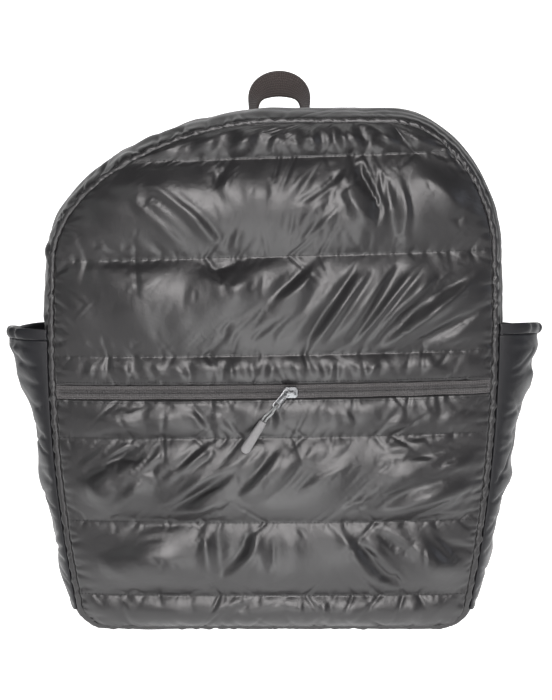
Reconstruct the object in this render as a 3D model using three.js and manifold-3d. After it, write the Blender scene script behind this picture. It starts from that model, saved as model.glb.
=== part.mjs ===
// Quilted puffer backpack, standing upright on its base. Millimetres, +Z up, front towards -Y.
// Padded panels are sewn into a box with a rounded top. The front is cut across by a zipped pocket,
// each side carries an open pocket, and the back carries a handle loop and two shoulder straps.
import * as THREE from "three";
import { mergeVertices } from "three/addons/utils/BufferGeometryUtils.js";
import Module from "manifold-3d";

const wasm = await Module();
wasm.setup();

// Body
const BODY_HEIGHT = 435.5; // to the middle of the cloth along the top
const BODY_DEPTH = 96; // from the front seam to the back seam
const HALF_WIDTH_TOP = 171; // half the front panel where the corners start
const HALF_WIDTH_MIDDLE = 174;
const HALF_WIDTH_BASE = 161;
const SEAM_TOP_DROP = 11; // how far the front seam's top lies under the top of the bag
const SEAM_BASE_RISE = 8; // how far the front seam's bottom lies above the floor
const BASE_CORNER = 22;
const BASE_CORNER_FULLNESS = 0.58;

// Rounded top: how far each corner reaches across and down, and how full its curve is
const TOP_CORNERS = [
  { side: -1, reach: 172, drop: 112, fullness: 0.66 },
  { side: 1, reach: 80, drop: 104, fullness: 0.5 },
];

// Padding and cloth
const CLOTH = 2; // two layers of cloth sewn flat together
const GAP = 0.3; // between pieces
const FRONT_BELLY = 9; // how far the filled bag pushes the front out
const BACK_BELLY = 5;
const GUSSET_PUFF = 13;
const TOP_PUFF_SHARE = SEAM_TOP_DROP / GUSSET_PUFF;
const BASE_PUFF = 8;
const BACK_PUFF = 6;
const GUSSET_THICKNESS = 3;
const SIDE_THICKNESS = 4;
const BASE_STEPS = 16;

// Front quilting seams, from the base up: height in the middle, rise from left to right,
// and how far the padding above each seam puffs out
const POCKET_ZIP_HEIGHT = 215;
const POCKET_ZIP_WIDTH = 11.5;
const POCKET_ZIP_RISE = 5;
const LOWER_SEAMS = [
  { height: SEAM_BASE_RISE, rise: 0, puff: 9, rows: 4 },
  { height: 38, rise: 0, puff: 12, rows: 6 },
  { height: 104, rise: 1, puff: 13, rows: 8 },
  { height: 177, rise: 5, puff: 7, rows: 4 },
  { height: POCKET_ZIP_HEIGHT - POCKET_ZIP_WIDTH / 2, rise: POCKET_ZIP_RISE, puff: 0, rows: 0 },
];
const UPPER_SEAMS = [
  { height: POCKET_ZIP_HEIGHT + POCKET_ZIP_WIDTH / 2, rise: POCKET_ZIP_RISE, puff: 8, rows: 4 },
  { height: 245, rise: 6, puff: 13, rows: 8 },
  { height: 323, rise: 9, puff: 13, rows: 8 },
  { height: 399, rise: 8, puff: 8, rows: 4 },
  { height: BODY_HEIGHT - SEAM_TOP_DROP, rise: 0, puff: 0, rows: 0 },
];
const BACK_SEAMS = [
  { height: SEAM_BASE_RISE, rows: 4 },
  { height: 104, rows: 4 },
  { height: 215, rows: 4 },
  { height: 323, rows: 4 },
  { height: BODY_HEIGHT - SEAM_TOP_DROP, rows: 0 },
];
const BACK_COLUMNS = 16;
const FRONT_COLUMNS = 32;
const PUFF_ROUNDNESS = 0.62;
const EDGE_SOFTNESS = 6;

// Main folds of the front. Places are shares: across of the half width, up of the body height.
// Depth and width are shares of the puff above and of the half width. A negative depth is a ridge.
const FOLDS = [
  { fromAcross: 0.14, fromUp: 0.565, toAcross: 0.45, toUp: 0.7, width: 0.045, depth: 0.5 },
  { fromAcross: 0.31, fromUp: 0.61, toAcross: 0.59, toUp: 0.742, width: 0.04, depth: 0.45 },
  { fromAcross: 0.46, fromUp: 0.568, toAcross: 0.89, toUp: 0.714, width: 0.045, depth: 0.55 },
  { fromAcross: 0.68, fromUp: 0.572, toAcross: 1.0, toUp: 0.626, width: 0.04, depth: 0.4 },
  { fromAcross: -0.04, fromUp: 0.646, toAcross: 0.19, toUp: 0.733, width: 0.04, depth: 0.4 },
  { fromAcross: -0.9, fromUp: 0.7, toAcross: -0.1, toUp: 0.72, width: 0.06, depth: 0.3 },
  { fromAcross: 0.05, fromUp: 0.83, toAcross: 0.41, toUp: 0.917, width: 0.05, depth: 0.5 },
  { fromAcross: 0.33, fromUp: 0.858, toAcross: 0.52, toUp: 0.806, width: 0.05, depth: 0.5 },
  { fromAcross: 0.54, fromUp: 0.874, toAcross: 0.67, toUp: 0.771, width: 0.04, depth: 0.4 },
  { fromAcross: -0.56, fromUp: 0.866, toAcross: -0.21, toUp: 0.762, width: 0.06, depth: -0.25 },
  { fromAcross: -0.82, fromUp: 0.35, toAcross: -0.62, toUp: 0.4, width: 0.04, depth: 0.45 },
  { fromAcross: -0.72, fromUp: 0.3, toAcross: -0.5, toUp: 0.375, width: 0.04, depth: 0.4 },
  { fromAcross: -0.56, fromUp: 0.262, toAcross: -0.26, toUp: 0.358, width: 0.045, depth: 0.5 },
  { fromAcross: 0.25, fromUp: 0.3, toAcross: 0.85, toUp: 0.36, width: 0.08, depth: 0.35 },
  { fromAcross: 0.22, fromUp: 0.245, toAcross: 0.55, toUp: 0.12, width: 0.05, depth: 0.45 },
  { fromAcross: -0.45, fromUp: 0.22, toAcross: -0.3, toUp: 0.12, width: 0.07, depth: -0.25 },
  { fromAcross: -0.75, fromUp: 0.215, toAcross: -0.62, toUp: 0.11, width: 0.06, depth: 0.4 },
];

// Gusset round the top and the sides, with the main zip, and the side panels under it
const SIDE_PANEL_BASE = 18;
const SIDE_PANEL_OVER_HEM = 4; // how far the side panel reaches above the pocket's hem
const MAIN_ZIP_FRONT_EDGE = 2; // behind the middle of the depth
const MAIN_ZIP_TAPE_WIDTH = 22;
const MAIN_ZIP_COIL_WIDTH = 6;
const MAIN_ZIP_SINK = 4; // how far the tape lies under the puffed cloth beside it
const MAIN_SLIDER_LENGTH = 12;
const MAIN_SLIDER_WIDTH = 9;
const MAIN_SLIDER_THICKNESS = 3;
const GUSSET_STEPS = 40;
const ZIP_TAPE = 1.2;
const COIL_HEIGHT = 2;
const POCKET_COIL_WIDTH = 4.6;

// Open side pockets, from the floor up
const POCKET_BASE = 24;
const POCKET_TOP = 244;
const POCKET_REACH = 29; // how far the mouth stands out from the side panel
const POCKET_LEAN = 0.45; // share of that reach that grows evenly from the floor up
const POCKET_FLARE = 8; // how late the rest opens towards the mouth
const POCKET_ROUNDNESS = 2.4;
const POCKET_SEAM_INSET = 4; // from the front and back seams
const POCKET_PUFF = 2.5;
const POCKET_COLUMNS = 12;
const POCKET_SEAMS = [
  { height: POCKET_BASE, rows: 4 },
  { height: 98, rows: 4 },
  { height: 176, rows: 4 },
  { height: POCKET_TOP, rows: 0 },
];
const HEM_HEIGHT = 9;
const HEM_THICKNESS = 3.6;

// Handle loop of webbing on the back seam
const HANDLE_X = 5;
const HANDLE_TOP = 468.5;
const HANDLE_SPREAD = 43; // between the middles of its two feet
const HANDLE_WEBBING = 23;
const HANDLE_THICKNESS = 2.4;
const HANDLE_LEAN = 1.15; // radians that the crown turns towards the front
const HANDLE_FOOT = 16; // the webbing is folded narrower where it is sewn in
const HANDLE_TWIST = 0.45;
const HANDLE_ROUNDNESS = 0.7;
const HANDLE_STEPS = 20;

// Shoulder straps on the back
const STRAP_WIDTH = 58;
const STRAP_THICKNESS = 10;
const STRAP_TOP_X = 44;
const STRAP_END_X = 92;
const STRAP_TOP_Z = 404;
const STRAP_END_Z = 168;
const STRAP_STAND_OFF = 24; // how far the strap bows away from the back
const STRAP_EDGE = 3;
const STRAP_STEPS = 16;
const WEBBING_WIDTH = 25;
const WEBBING_THICKNESS = 1.6;
const WEBBING_CLEARANCE = 0.5;
const WEBBING_TAIL = 48;
const WEBBING_STEPS = 26;
const WEBBING_END_X = 132;
const WEBBING_END_Z = 34;
const ADJUSTER_WIDTH = 34;
const ADJUSTER_HEIGHT = 22;
const ADJUSTER_THICKNESS = 5;
const ADJUSTER_BAR = 4;

// Pocket zip slider: a plate over the coil, a bridge on it, and a pull tab looped round the bridge
const SLIDER_X = 14;
const SLIDER_LENGTH = 11;
const SLIDER_WIDTH = 8.6;
const SLIDER_PLATE = 1.4;
const SLIDER_FLANGE = 1.6; // how far the sides reach back beside the coil
const SLIDER_CORNER = 2.4;
const BRIDGE_LENGTH = 8;
const BRIDGE_OPENING = 3.2;
const BRIDGE_BAR = 1.2;
const BRIDGE_WIDTH = 2.2;
const TAB_LENGTH = 15.6; // from the middle of the eye to the far end
const TAB_WIDTH = 6.2;
const TAB_NECK = 4.6;
const TAB_THICKNESS = 1;
const TAB_EYE_RADIUS = 2;
const TAB_RIM = 1.1;
const PULL_ANGLE = -2.27; // way the tab and the cord hang, from +X, seen from the front

// Cord loop from the tab to the moulded grip
const CORD_DIAMETER = 1.6;
const CORD_SPREAD = 2.6; // between its two strands at the grip
const CORD_REACH = 13.4; // from the end of the tab to the grip
const CORD_CLEARANCE = 0.35;
const CORD_STEPS = 26;
const GRIP_LENGTH = 30;
const GRIP_WIDTH = 8.5;
const GRIP_NECK_WIDTH = 6;
const GRIP_THICKNESS = 4.4;
const GRIP_SQUARENESS = 0.7; // 1 is round, and less is squarer
const GRIP_ANGLE = -2.13;

// Colours
const NYLON = { color: 0x2b2a2b, roughness: 0.38, metalness: 0 };
const WEBBING = { color: 0x3a3533, roughness: 0.8, metalness: 0 };
const ZIP = { color: 0x1d1d1e, roughness: 0.6, metalness: 0 };
const METAL = { color: 0xb9bcc0, roughness: 0.22, metalness: 1 };
const GREY_RUBBER = { color: 0x8f8d8e, roughness: 0.6, metalness: 0 };
const GREY_CORD = { color: 0xa0a5a6, roughness: 0.7, metalness: 0 };
const MESH_CLOTH = { color: 0x242425, roughness: 0.9, metalness: 0 };
const BUCKLE = { color: 0x161617, roughness: 0.45, metalness: 0 };

const FRONT_SEAM_Y = -BODY_DEPTH / 2;
const BACK_SEAM_Y = BODY_DEPTH / 2;
const SEAM_TOP = BODY_HEIGHT - SEAM_TOP_DROP;

const backpack = new THREE.Group();

function addPiece(name, geometry, finish) {
  const mesh = new THREE.Mesh(geometry, new THREE.MeshStandardMaterial(finish));
  mesh.name = name;
  backpack.add(mesh);
  return mesh;
}

const lerp = THREE.MathUtils.lerp;
const clamp = THREE.MathUtils.clamp;

function steps(from, to, count) {
  return Array.from({ length: count + 1 }, (_, i) => lerp(from, to, i / count));
}

// Seam outline, seen from the front: a closed path in (x, z), starting at the middle of the base
function drawSeamOutline() {
  const [left, right] = TOP_CORNERS;
  const path = new THREE.Path();
  const base = HALF_WIDTH_BASE;
  const foot = SEAM_BASE_RISE + BASE_CORNER;
  const footPull = BASE_CORNER * (1 - BASE_CORNER_FULLNESS);
  const bow = (HALF_WIDTH_MIDDLE - (HALF_WIDTH_TOP + base) / 2) * (4 / 3);
  path.moveTo(0, SEAM_BASE_RISE);
  path.lineTo(-base + BASE_CORNER, SEAM_BASE_RISE);
  path.bezierCurveTo(-base + footPull, SEAM_BASE_RISE, -base, SEAM_BASE_RISE + footPull, -base, foot);
  for (const { side, reach, drop, fullness } of [left, right]) {
    const shoulder = SEAM_TOP - drop;
    const across = side * (HALF_WIDTH_TOP - reach);
    const edge = side * HALF_WIDTH_TOP;
    const lowBow = side * (lerp(base, HALF_WIDTH_TOP, 1 / 3) + bow);
    const highBow = side * (lerp(base, HALF_WIDTH_TOP, 2 / 3) + bow);
    const third = (shoulder - foot) / 3;
    if (side < 0) {
      path.bezierCurveTo(lowBow, foot + third, highBow, foot + 2 * third, edge, shoulder);
      path.bezierCurveTo(
        edge, shoulder + drop * fullness,
        across + side * reach * (1 - fullness), SEAM_TOP,
        across, SEAM_TOP,
      );
    } else {
      path.lineTo(across, SEAM_TOP);
      path.bezierCurveTo(
        across + side * reach * fullness, SEAM_TOP,
        edge, shoulder + drop * fullness,
        edge, shoulder,
      );
      path.bezierCurveTo(highBow, foot + 2 * third, lowBow, foot + third, base, foot);
    }
  }
  path.bezierCurveTo(base, SEAM_BASE_RISE + footPull, base - footPull, SEAM_BASE_RISE,
    base - BASE_CORNER, SEAM_BASE_RISE);
  path.lineTo(0, SEAM_BASE_RISE);
  return path;
}

const OUTLINE_POINTS = 720;
const outline = drawSeamOutline().getSpacedPoints(OUTLINE_POINTS);

// Point and outward direction of the seam outline at a share of its length
function outlineAt(share) {
  const place = (share % 1) * OUTLINE_POINTS;
  const i = Math.floor(place);
  const here = outline[i].clone().lerp(outline[i + 1], place - i);
  const before = outline[(i + OUTLINE_POINTS - 2) % OUTLINE_POINTS];
  const after = outline[(i + 3) % OUTLINE_POINTS];
  const along = after.clone().sub(before).normalize();
  return { x: here.x, z: here.y, outX: -along.y, outZ: along.x };
}

// Share of the outline's length where a side passes a height
function shareAtHeight(side, height) {
  let low = side < 0 ? 0 : 0.5;
  let high = low + 0.5;
  for (let i = 0; i < 40; i++) {
    const middle = (low + high) / 2;
    const below = outlineAt(middle).z < height;
    if (below === (side < 0)) low = middle;
    else high = middle;
  }
  return (low + high) / 2;
}

function edgeX(side, height) {
  return outlineAt(shareAtHeight(side, clamp(height, SEAM_BASE_RISE + 0.01, SEAM_TOP - 0.01))).x;
}

// A closed wall between an outer and an inner surface over the same us and vs. The inner one may
// keep only every second line of both: then us and vs hold an odd number of values.
function wall(us, vs, outer, inner, keep = 2) {
  const positions = [];
  const faces = [];
  const grid = (columns, rows, surface) =>
    rows.map((v) =>
      columns.map((u) => {
        positions.push(...surface(u, v));
        return positions.length / 3 - 1;
      }),
    );
  const kept = (list) => list.filter((_, i) => i % keep === 0);
  const out = grid(us, vs, outer);
  const inn = grid(kept(us), kept(vs), inner);
  const fill = (rows, flip) => {
    for (let j = 0; j < rows.length - 1; j++) {
      for (let i = 0; i < rows[0].length - 1; i++) {
        const [a, b, c, d] = [rows[j][i], rows[j][i + 1], rows[j + 1][i + 1], rows[j + 1][i]];
        const quad = (i + j) % 2 ? [a, b, c, a, c, d] : [a, b, d, b, c, d];
        faces.push(...(flip ? quad.reverse() : quad));
      }
    }
  };
  fill(out, false);
  fill(inn, true);
  const rim = (fine, coarse) => {
    for (let i = 0; i < coarse.length - 1; i++) {
      const from = fine[keep * i];
      const middle = fine[keep * i + 1];
      faces.push(from, coarse[i], middle, middle, coarse[i], coarse[i + 1]);
      if (keep === 2) faces.push(middle, coarse[i + 1], fine[2 * i + 2]);
    }
  };
  const column = (rows, i) => rows.map((row) => row[i]);
  rim(out[0], inn[0]);
  rim(out.at(-1).toReversed(), inn.at(-1).toReversed());
  rim(column(out, 0).toReversed(), column(inn, 0).toReversed());
  rim(column(out, us.length - 1), column(inn, inn[0].length - 1));
  return closedGeometry(positions, faces);
}

function closedGeometry(positions, faces) {
  const geometry = new THREE.BufferGeometry();
  geometry.setAttribute("position", new THREE.Float32BufferAttribute(positions, 3));
  geometry.setIndex(signedVolume(positions, faces) < 0 ? faces.toReversed() : faces);
  geometry.computeVertexNormals();
  return geometry;
}

function signedVolume(positions, faces) {
  const corner = (i) => new THREE.Vector3().fromArray(positions, 3 * faces[i]);
  let volume = 0;
  for (let i = 0; i < faces.length; i += 3) {
    volume += corner(i).dot(corner(i + 1).cross(corner(i + 2))) / 6;
  }
  return volume;
}

// Puffed profile between two seams, 0 at both and 1 in the middle
function puffProfile(share) {
  return Math.sin(Math.PI * clamp(share, 0, 1)) ** PUFF_ROUNDNESS;
}

// Rows of a panel between its seams: each knows its height, its rise, and its place in its puff
function quiltRows(seams) {
  const rows = [];
  seams.slice(0, -1).forEach((seam, k) => {
    const next = seams[k + 1];
    steps(0, 1, seam.rows).slice(0, -1).forEach((share) => {
      rows.push({
        height: lerp(seam.height, next.height, share),
        rise: lerp(seam.rise, next.rise, share),
        puff: seam.puff * puffProfile(share),
      });
    });
  });
  const last = seams.at(-1);
  rows.push({ height: last.height, rise: last.rise, puff: 0 });
  return rows;
}

function foldDepth(across, up) {
  return FOLDS.reduce((sum, fold) => {
    const alongAcross = fold.toAcross - fold.fromAcross;
    const alongUp = (fold.toUp - fold.fromUp) * (BODY_HEIGHT / HALF_WIDTH_TOP);
    const toPointAcross = across - fold.fromAcross;
    const toPointUp = (up - fold.fromUp) * (BODY_HEIGHT / HALF_WIDTH_TOP);
    const length = Math.hypot(alongAcross, alongUp);
    const share = (toPointAcross * alongAcross + toPointUp * alongUp) / length ** 2;
    const aside = (toPointAcross * alongUp - toPointUp * alongAcross) / length;
    const fade = Math.sin(Math.PI * clamp(share, 0, 1)) ** 0.5;
    return sum + fold.depth * fade * Math.exp(-((aside / fold.width) ** 2));
  }, 0);
}

// Front: how far the filled bag pushes the cloth out at a place, u from -1 at the left seam to 1
function frontBelly(u, height) {
  const up = clamp((height - SEAM_BASE_RISE) / (SEAM_TOP - SEAM_BASE_RISE), 0, 1);
  return FRONT_BELLY * (1 - u * u) ** 0.7 * Math.sin(Math.PI * up) ** 0.6;
}

function frontPoint(u, row, outwards) {
  const height = row.height + (row.rise * u) / 2;
  const x = lerp(edgeX(-1, height), edgeX(1, height), (u + 1) / 2);
  const back = outwards ? 0 : CLOTH;
  const edge = 1 - Math.abs(u) ** EDGE_SOFTNESS;
  const folded = clamp(1 - foldDepth(x / HALF_WIDTH_TOP, height / BODY_HEIGHT), 0.15, 1.3);
  const puff = outwards ? row.puff * edge * folded : 0;
  return [x, FRONT_SEAM_Y - frontBelly(u, height) - puff + back, height];
}

function frontPanel(name, seams) {
  const rows = quiltRows(seams);
  const us = steps(-1, 1, FRONT_COLUMNS);
  const rowNumbers = rows.map((_, j) => j);
  addPiece(name, wall(us, rowNumbers,
    (u, j) => frontPoint(u, rows[j], true),
    (u, j) => frontPoint(u, rows[j], false)), NYLON);
}

// A strip on the front that follows the pocket zip, from one height to another about its middle
function pocketZipStrip(name, halfWidth, front, thickness, finish) {
  const us = steps(-1, 1, FRONT_COLUMNS);
  const place = (u, v, proud) => {
    const height = POCKET_ZIP_HEIGHT + v * halfWidth + (POCKET_ZIP_RISE * u) / 2;
    const x = lerp(edgeX(-1, height), edgeX(1, height), (u + 1) / 2);
    return [x, FRONT_SEAM_Y - frontBelly(u, height) - proud, height];
  };
  addPiece(name, wall(us, [-1, 0, 1],
    (u, v) => place(u, v, front + thickness),
    (u, v) => place(u, v, front), 1), finish);
}

// Depth y of the front's outer cloth at a place, with its puffs and without its folds
function frontSurfaceY(x, height) {
  const u = clamp(x / HALF_WIDTH_TOP, -1, 1);
  const seams = height < POCKET_ZIP_HEIGHT ? LOWER_SEAMS : UPPER_SEAMS;
  const k = seams.findLastIndex((seam) => seam.height + (seam.rise * u) / 2 <= height);
  const belly = FRONT_SEAM_Y - frontBelly(u, height);
  if (k < 0 || k === seams.length - 1) return belly;
  const low = seams[k].height + (seams[k].rise * u) / 2;
  const high = seams[k + 1].height + (seams[k + 1].rise * u) / 2;
  return belly - seams[k].puff * puffProfile((height - low) / (high - low));
}

frontPanel("front_panel_lower", LOWER_SEAMS);
frontPanel("front_panel_upper", UPPER_SEAMS);
const TAPE_BACK = -CLOTH;
pocketZipStrip("pocket_zip_tape", POCKET_ZIP_WIDTH / 2 - GAP, TAPE_BACK, ZIP_TAPE, ZIP);
pocketZipStrip("pocket_zip_coil", POCKET_COIL_WIDTH / 2, TAPE_BACK + ZIP_TAPE + GAP, COIL_HEIGHT, ZIP);

// Ring of cloth between the front and back seams: a point at a share of the outline and a depth y,
// standing out from the seam line by a distance
const RING_FRONT = FRONT_SEAM_Y + CLOTH + GAP;
const RING_BACK = BACK_SEAM_Y - CLOTH - GAP;

function ringPoint(share, y, standOut) {
  const { x, z, outX, outZ } = outlineAt(share);
  return [x + outX * standOut, y, Math.max(z + outZ * standOut, 0)];
}

function sidePuff(share) {
  const { outZ } = outlineAt(share);
  if (outZ < 0) return lerp(GUSSET_PUFF, BASE_PUFF, -outZ);
  return GUSSET_PUFF * lerp(1, TOP_PUFF_SHARE, outZ);
}

// How far the ring stands out at a depth y, as a share of its puff
function ringBow(y) {
  const across = (y - RING_FRONT) / (RING_BACK - RING_FRONT);
  return Math.sin(Math.PI * clamp(across, 0, 1)) ** 0.35;
}

const SIDE_PANEL_TOP = POCKET_TOP + HEM_HEIGHT + SIDE_PANEL_OVER_HEM;
const LEFT_FOOT = shareAtHeight(-1, SIDE_PANEL_BASE);
const LEFT_HIP = shareAtHeight(-1, SIDE_PANEL_TOP);
const RIGHT_HIP = shareAtHeight(1, SIDE_PANEL_TOP);
const RIGHT_FOOT = shareAtHeight(1, SIDE_PANEL_BASE);
const OUTLINE_LENGTH = drawSeamOutline().getLength();
const GAP_SHARE = GAP / OUTLINE_LENGTH / 2;

// How far a strip between two depths stands out: billow is the share that its own puff adds
function stripStand(share, y, fromY, toY, billow) {
  const local = puffProfile((y - fromY) / (toY - fromY));
  return sidePuff(share) * ringBow(y) * (1 - billow + billow * local);
}

// A strip of the gusset over the top of the bag, between two depths
function gussetStrip(name, fromY, toY, { sink, billow, thickness, across, finish, keep = 2 }) {
  const shares = steps(LEFT_HIP + GAP_SHARE, RIGHT_HIP - GAP_SHARE, GUSSET_STEPS);
  const stand = (share, y) => stripStand(share, y, fromY, toY, billow) - sink;
  addPiece(name, wall(shares, steps(fromY, toY, across),
    (share, y) => ringPoint(share, y, stand(share, y) + thickness / 2),
    (share, y) => ringPoint(share, y, stand(share, y) - thickness / 2), keep), finish);
}

const ZIP_BACK_EDGE = MAIN_ZIP_FRONT_EDGE + MAIN_ZIP_TAPE_WIDTH;
const COIL_FRONT = (MAIN_ZIP_FRONT_EDGE + ZIP_BACK_EDGE - MAIN_ZIP_COIL_WIDTH) / 2;
const GUSSET_BILLOW = 0.35;
const padded = { sink: 0, billow: GUSSET_BILLOW, thickness: GUSSET_THICKNESS, finish: NYLON };
gussetStrip("front_gusset", RING_FRONT, MAIN_ZIP_FRONT_EDGE - GAP, { ...padded, across: 6 });
gussetStrip("back_gusset", ZIP_BACK_EDGE + GAP, RING_BACK, { ...padded, across: 4 });
gussetStrip("main_zip_tape", MAIN_ZIP_FRONT_EDGE, ZIP_BACK_EDGE,
  { sink: MAIN_ZIP_SINK, billow: 0, thickness: ZIP_TAPE, across: 2, finish: ZIP });
gussetStrip("main_zip_coil", COIL_FRONT, COIL_FRONT + MAIN_ZIP_COIL_WIDTH, {
  sink: MAIN_ZIP_SINK - (ZIP_TAPE + COIL_HEIGHT) / 2 - GAP,
  billow: 0,
  thickness: COIL_HEIGHT,
  across: 2,
  finish: ZIP,
  keep: 1,
});

// Side pockets and the side panels they are sewn to
const POCKET_FRONT = RING_FRONT + POCKET_SEAM_INSET;
const POCKET_BACK = RING_BACK - POCKET_SEAM_INSET;
const everySecond = (list) => list.filter((_, i) => i % 2 === 0);
const pocketYs = steps(POCKET_FRONT, POCKET_BACK, POCKET_COLUMNS);
const sideYs = [RING_FRONT, ...everySecond(pocketYs), RING_BACK];

function pocketRows(side) {
  const rows = [];
  POCKET_SEAMS.slice(0, -1).forEach((seam, k) => {
    const next = POCKET_SEAMS[k + 1];
    steps(0, 1, seam.rows).slice(0, -1).forEach((share) => {
      const height = lerp(seam.height, next.height, share);
      rows.push({ height, share: shareAtHeight(side, height), puff: puffProfile(share) });
    });
  });
  rows.push({ height: POCKET_TOP, share: shareAtHeight(side, POCKET_TOP), puff: 0 });
  return rows;
}

function ringStand(share, y) {
  return sidePuff(share) * ringBow(y);
}

function ringWall(name, shares) {
  addPiece(name, wall(shares, sideYs,
    (share, y) => ringPoint(share, y, ringStand(share, y) + SIDE_THICKNESS / 2),
    (share, y) => ringPoint(share, y, ringStand(share, y) - SIDE_THICKNESS / 2)), NYLON);
}

// How far a pocket's inner face stands out from the side panel: nothing at its sewn edges
function pocketReach(y, height) {
  const up = clamp((height - POCKET_BASE) / (POCKET_TOP - POCKET_BASE), 0, 1);
  const across = (2 * (y - POCKET_FRONT)) / (POCKET_BACK - POCKET_FRONT) - 1;
  const round = (1 - Math.abs(across) ** POCKET_ROUNDNESS) ** (1 / POCKET_ROUNDNESS);
  return POCKET_REACH * round * lerp(up ** POCKET_FLARE, up, POCKET_LEAN);
}

function sidePocket(word, side) {
  const rows = pocketRows(side);
  const shares = rows.map((row) => row.share);
  const hip = side < 0 ? LEFT_HIP - GAP_SHARE : RIGHT_HIP + GAP_SHARE;
  const foot = side < 0 ? LEFT_FOOT + GAP_SHARE : RIGHT_FOOT - GAP_SHARE;
  ringWall("side_panel_" + word, [foot, ...everySecond(shares), hip]);

  const seat = (share, y) => ringStand(share, y) + SIDE_THICKNESS / 2 + GAP;
  const inner = (y, row) => seat(row.share, y) + pocketReach(y, row.height);
  const outer = (y, row) => {
    const across = (y - POCKET_FRONT) / (POCKET_BACK - POCKET_FRONT);
    const puff = POCKET_PUFF * row.puff * Math.sin(Math.PI * across) ** 0.5;
    return inner(y, row) + CLOTH + puff;
  };
  addPiece("side_pocket_" + word, wall(pocketYs, rows,
    (y, row) => ringPoint(row.share, y, outer(y, row)),
    (y, row) => ringPoint(row.share, y, inner(y, row))), NYLON);

  const hemRows = steps(POCKET_TOP + GAP, POCKET_TOP + HEM_HEIGHT, 2)
    .map((height) => ({ height, share: shareAtHeight(side, height) }));
  addPiece("pocket_hem_" + word, wall(pocketYs, hemRows,
    (y, row) => ringPoint(row.share, y, inner(y, row) + HEM_THICKNESS),
    (y, row) => ringPoint(row.share, y, inner(y, row))), NYLON);
}

sidePocket("left", -1);
sidePocket("right", 1);
ringWall("base_panel", steps(RIGHT_FOOT + GAP_SHARE, 1 + LEFT_FOOT - GAP_SHARE, BASE_STEPS));

// Back panel
function backSurface(u, height, puff) {
  const up = clamp((height - SEAM_BASE_RISE) / (SEAM_TOP - SEAM_BASE_RISE), 0, 1);
  const belly = BACK_BELLY * (1 - u * u) ** 0.7 * Math.sin(Math.PI * up) ** 0.6;
  return BACK_SEAM_Y + belly + BACK_PUFF * puff * (1 - Math.abs(u) ** EDGE_SOFTNESS);
}

function backPanelPuff(height) {
  const k = BACK_SEAMS.findLastIndex((seam) => seam.height <= height);
  if (k < 0 || k === BACK_SEAMS.length - 1) return 0;
  return puffProfile((height - BACK_SEAMS[k].height) / (BACK_SEAMS[k + 1].height - BACK_SEAMS[k].height));
}

const backHeights = BACK_SEAMS.slice(0, -1)
  .flatMap((seam, k) => steps(seam.height, BACK_SEAMS[k + 1].height, seam.rows).slice(0, -1))
  .concat(SEAM_TOP);
const backX = (u, height) => lerp(edgeX(-1, height), edgeX(1, height), (u + 1) / 2);
addPiece("back_panel", wall(steps(-1, 1, BACK_COLUMNS), backHeights,
  (u, height) => [backX(u, height), backSurface(u, height, backPanelPuff(height)), height],
  (u, height) => [backX(u, height), backSurface(u, height, 0) - CLOTH, height]), NYLON);

// Depth y of the back's outer cloth at a place
function backSurfaceY(x, height) {
  return backSurface(clamp(x / HALF_WIDTH_TOP, -1, 1), height, backPanelPuff(height));
}

// A flat band along a curve. widthWay gives the direction of its width, half the sizes are per place.
function band(curve, along, across, widthWay, halfWidth, halfThickness) {
  const place = (t, a, side) => {
    const way = curve.getTangent(t);
    const wide = widthWay(t).sub(way.clone().multiplyScalar(widthWay(t).dot(way))).normalize();
    const face = way.clone().cross(wide);
    return curve.getPoint(t)
      .addScaledVector(wide, a * halfWidth(t))
      .addScaledVector(face, side * halfThickness(t, a))
      .toArray();
  };
  return wall(steps(0, 1, along), steps(-1, 1, across),
    (t, a) => place(t, a, 1), (t, a) => place(t, a, -1), 1);
}

// Handle loop: webbing that stands across at its feet and turns its face to the front at the crown
function shareAtTopX(x) {
  let low = LEFT_HIP;
  let high = RIGHT_HIP;
  for (let i = 0; i < 40; i++) {
    const middle = (low + high) / 2;
    if (outlineAt(middle).x < x) low = middle;
    else high = middle;
  }
  return low;
}

function gussetTopZ(x, fromY, toY) {
  const share = shareAtTopX(x);
  const stands = steps(fromY, toY, 8).map((y) =>
    stripStand(share, y, ZIP_BACK_EDGE + GAP, RING_BACK, GUSSET_BILLOW));
  return ringPoint(share, fromY, Math.max(...stands) + GUSSET_THICKNESS / 2)[2];
}

const handleY = RING_BACK - HANDLE_FOOT / 2;
const handleFootZ = GAP + Math.max(...[-0.5, 0, 0.5].map((share) =>
  gussetTopZ(HANDLE_X + share * HANDLE_SPREAD, handleY - HANDLE_FOOT / 2, handleY + HANDLE_FOOT / 2)));
const handleCrownZ = HANDLE_TOP - (HANDLE_WEBBING / 2) * Math.sin(HANDLE_LEAN) - HANDLE_THICKNESS / 2;
const handleCurve = new THREE.CatmullRomCurve3(steps(0, 1, HANDLE_STEPS).map((t) =>
  new THREE.Vector3(
    HANDLE_X - (HANDLE_SPREAD / 2) * Math.cos(Math.PI * t),
    handleY,
    lerp(handleFootZ, handleCrownZ, Math.sin(Math.PI * t) ** HANDLE_ROUNDNESS),
  )));
addPiece("handle_loop", band(handleCurve, HANDLE_STEPS, 4,
  (t) => {
    const lean = HANDLE_LEAN * Math.sin(Math.PI * t);
    return new THREE.Vector3(HANDLE_TWIST * Math.cos(Math.PI * t), Math.cos(lean), Math.sin(lean));
  },
  (t) => lerp(HANDLE_FOOT, HANDLE_WEBBING, Math.sin(Math.PI * t)) / 2,
  () => HANDLE_THICKNESS / 2), WEBBING);

// Shoulder straps: a padded strap, a plain adjuster at its end, and webbing down to the base corner
function backClearY(x, height, halfWidth) {
  return GAP + Math.max(...steps(x - halfWidth, x + halfWidth, 6).map((at) => backSurfaceY(at, height)));
}

const BACKWARDS = new THREE.Vector3(0, 1, 0);

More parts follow.
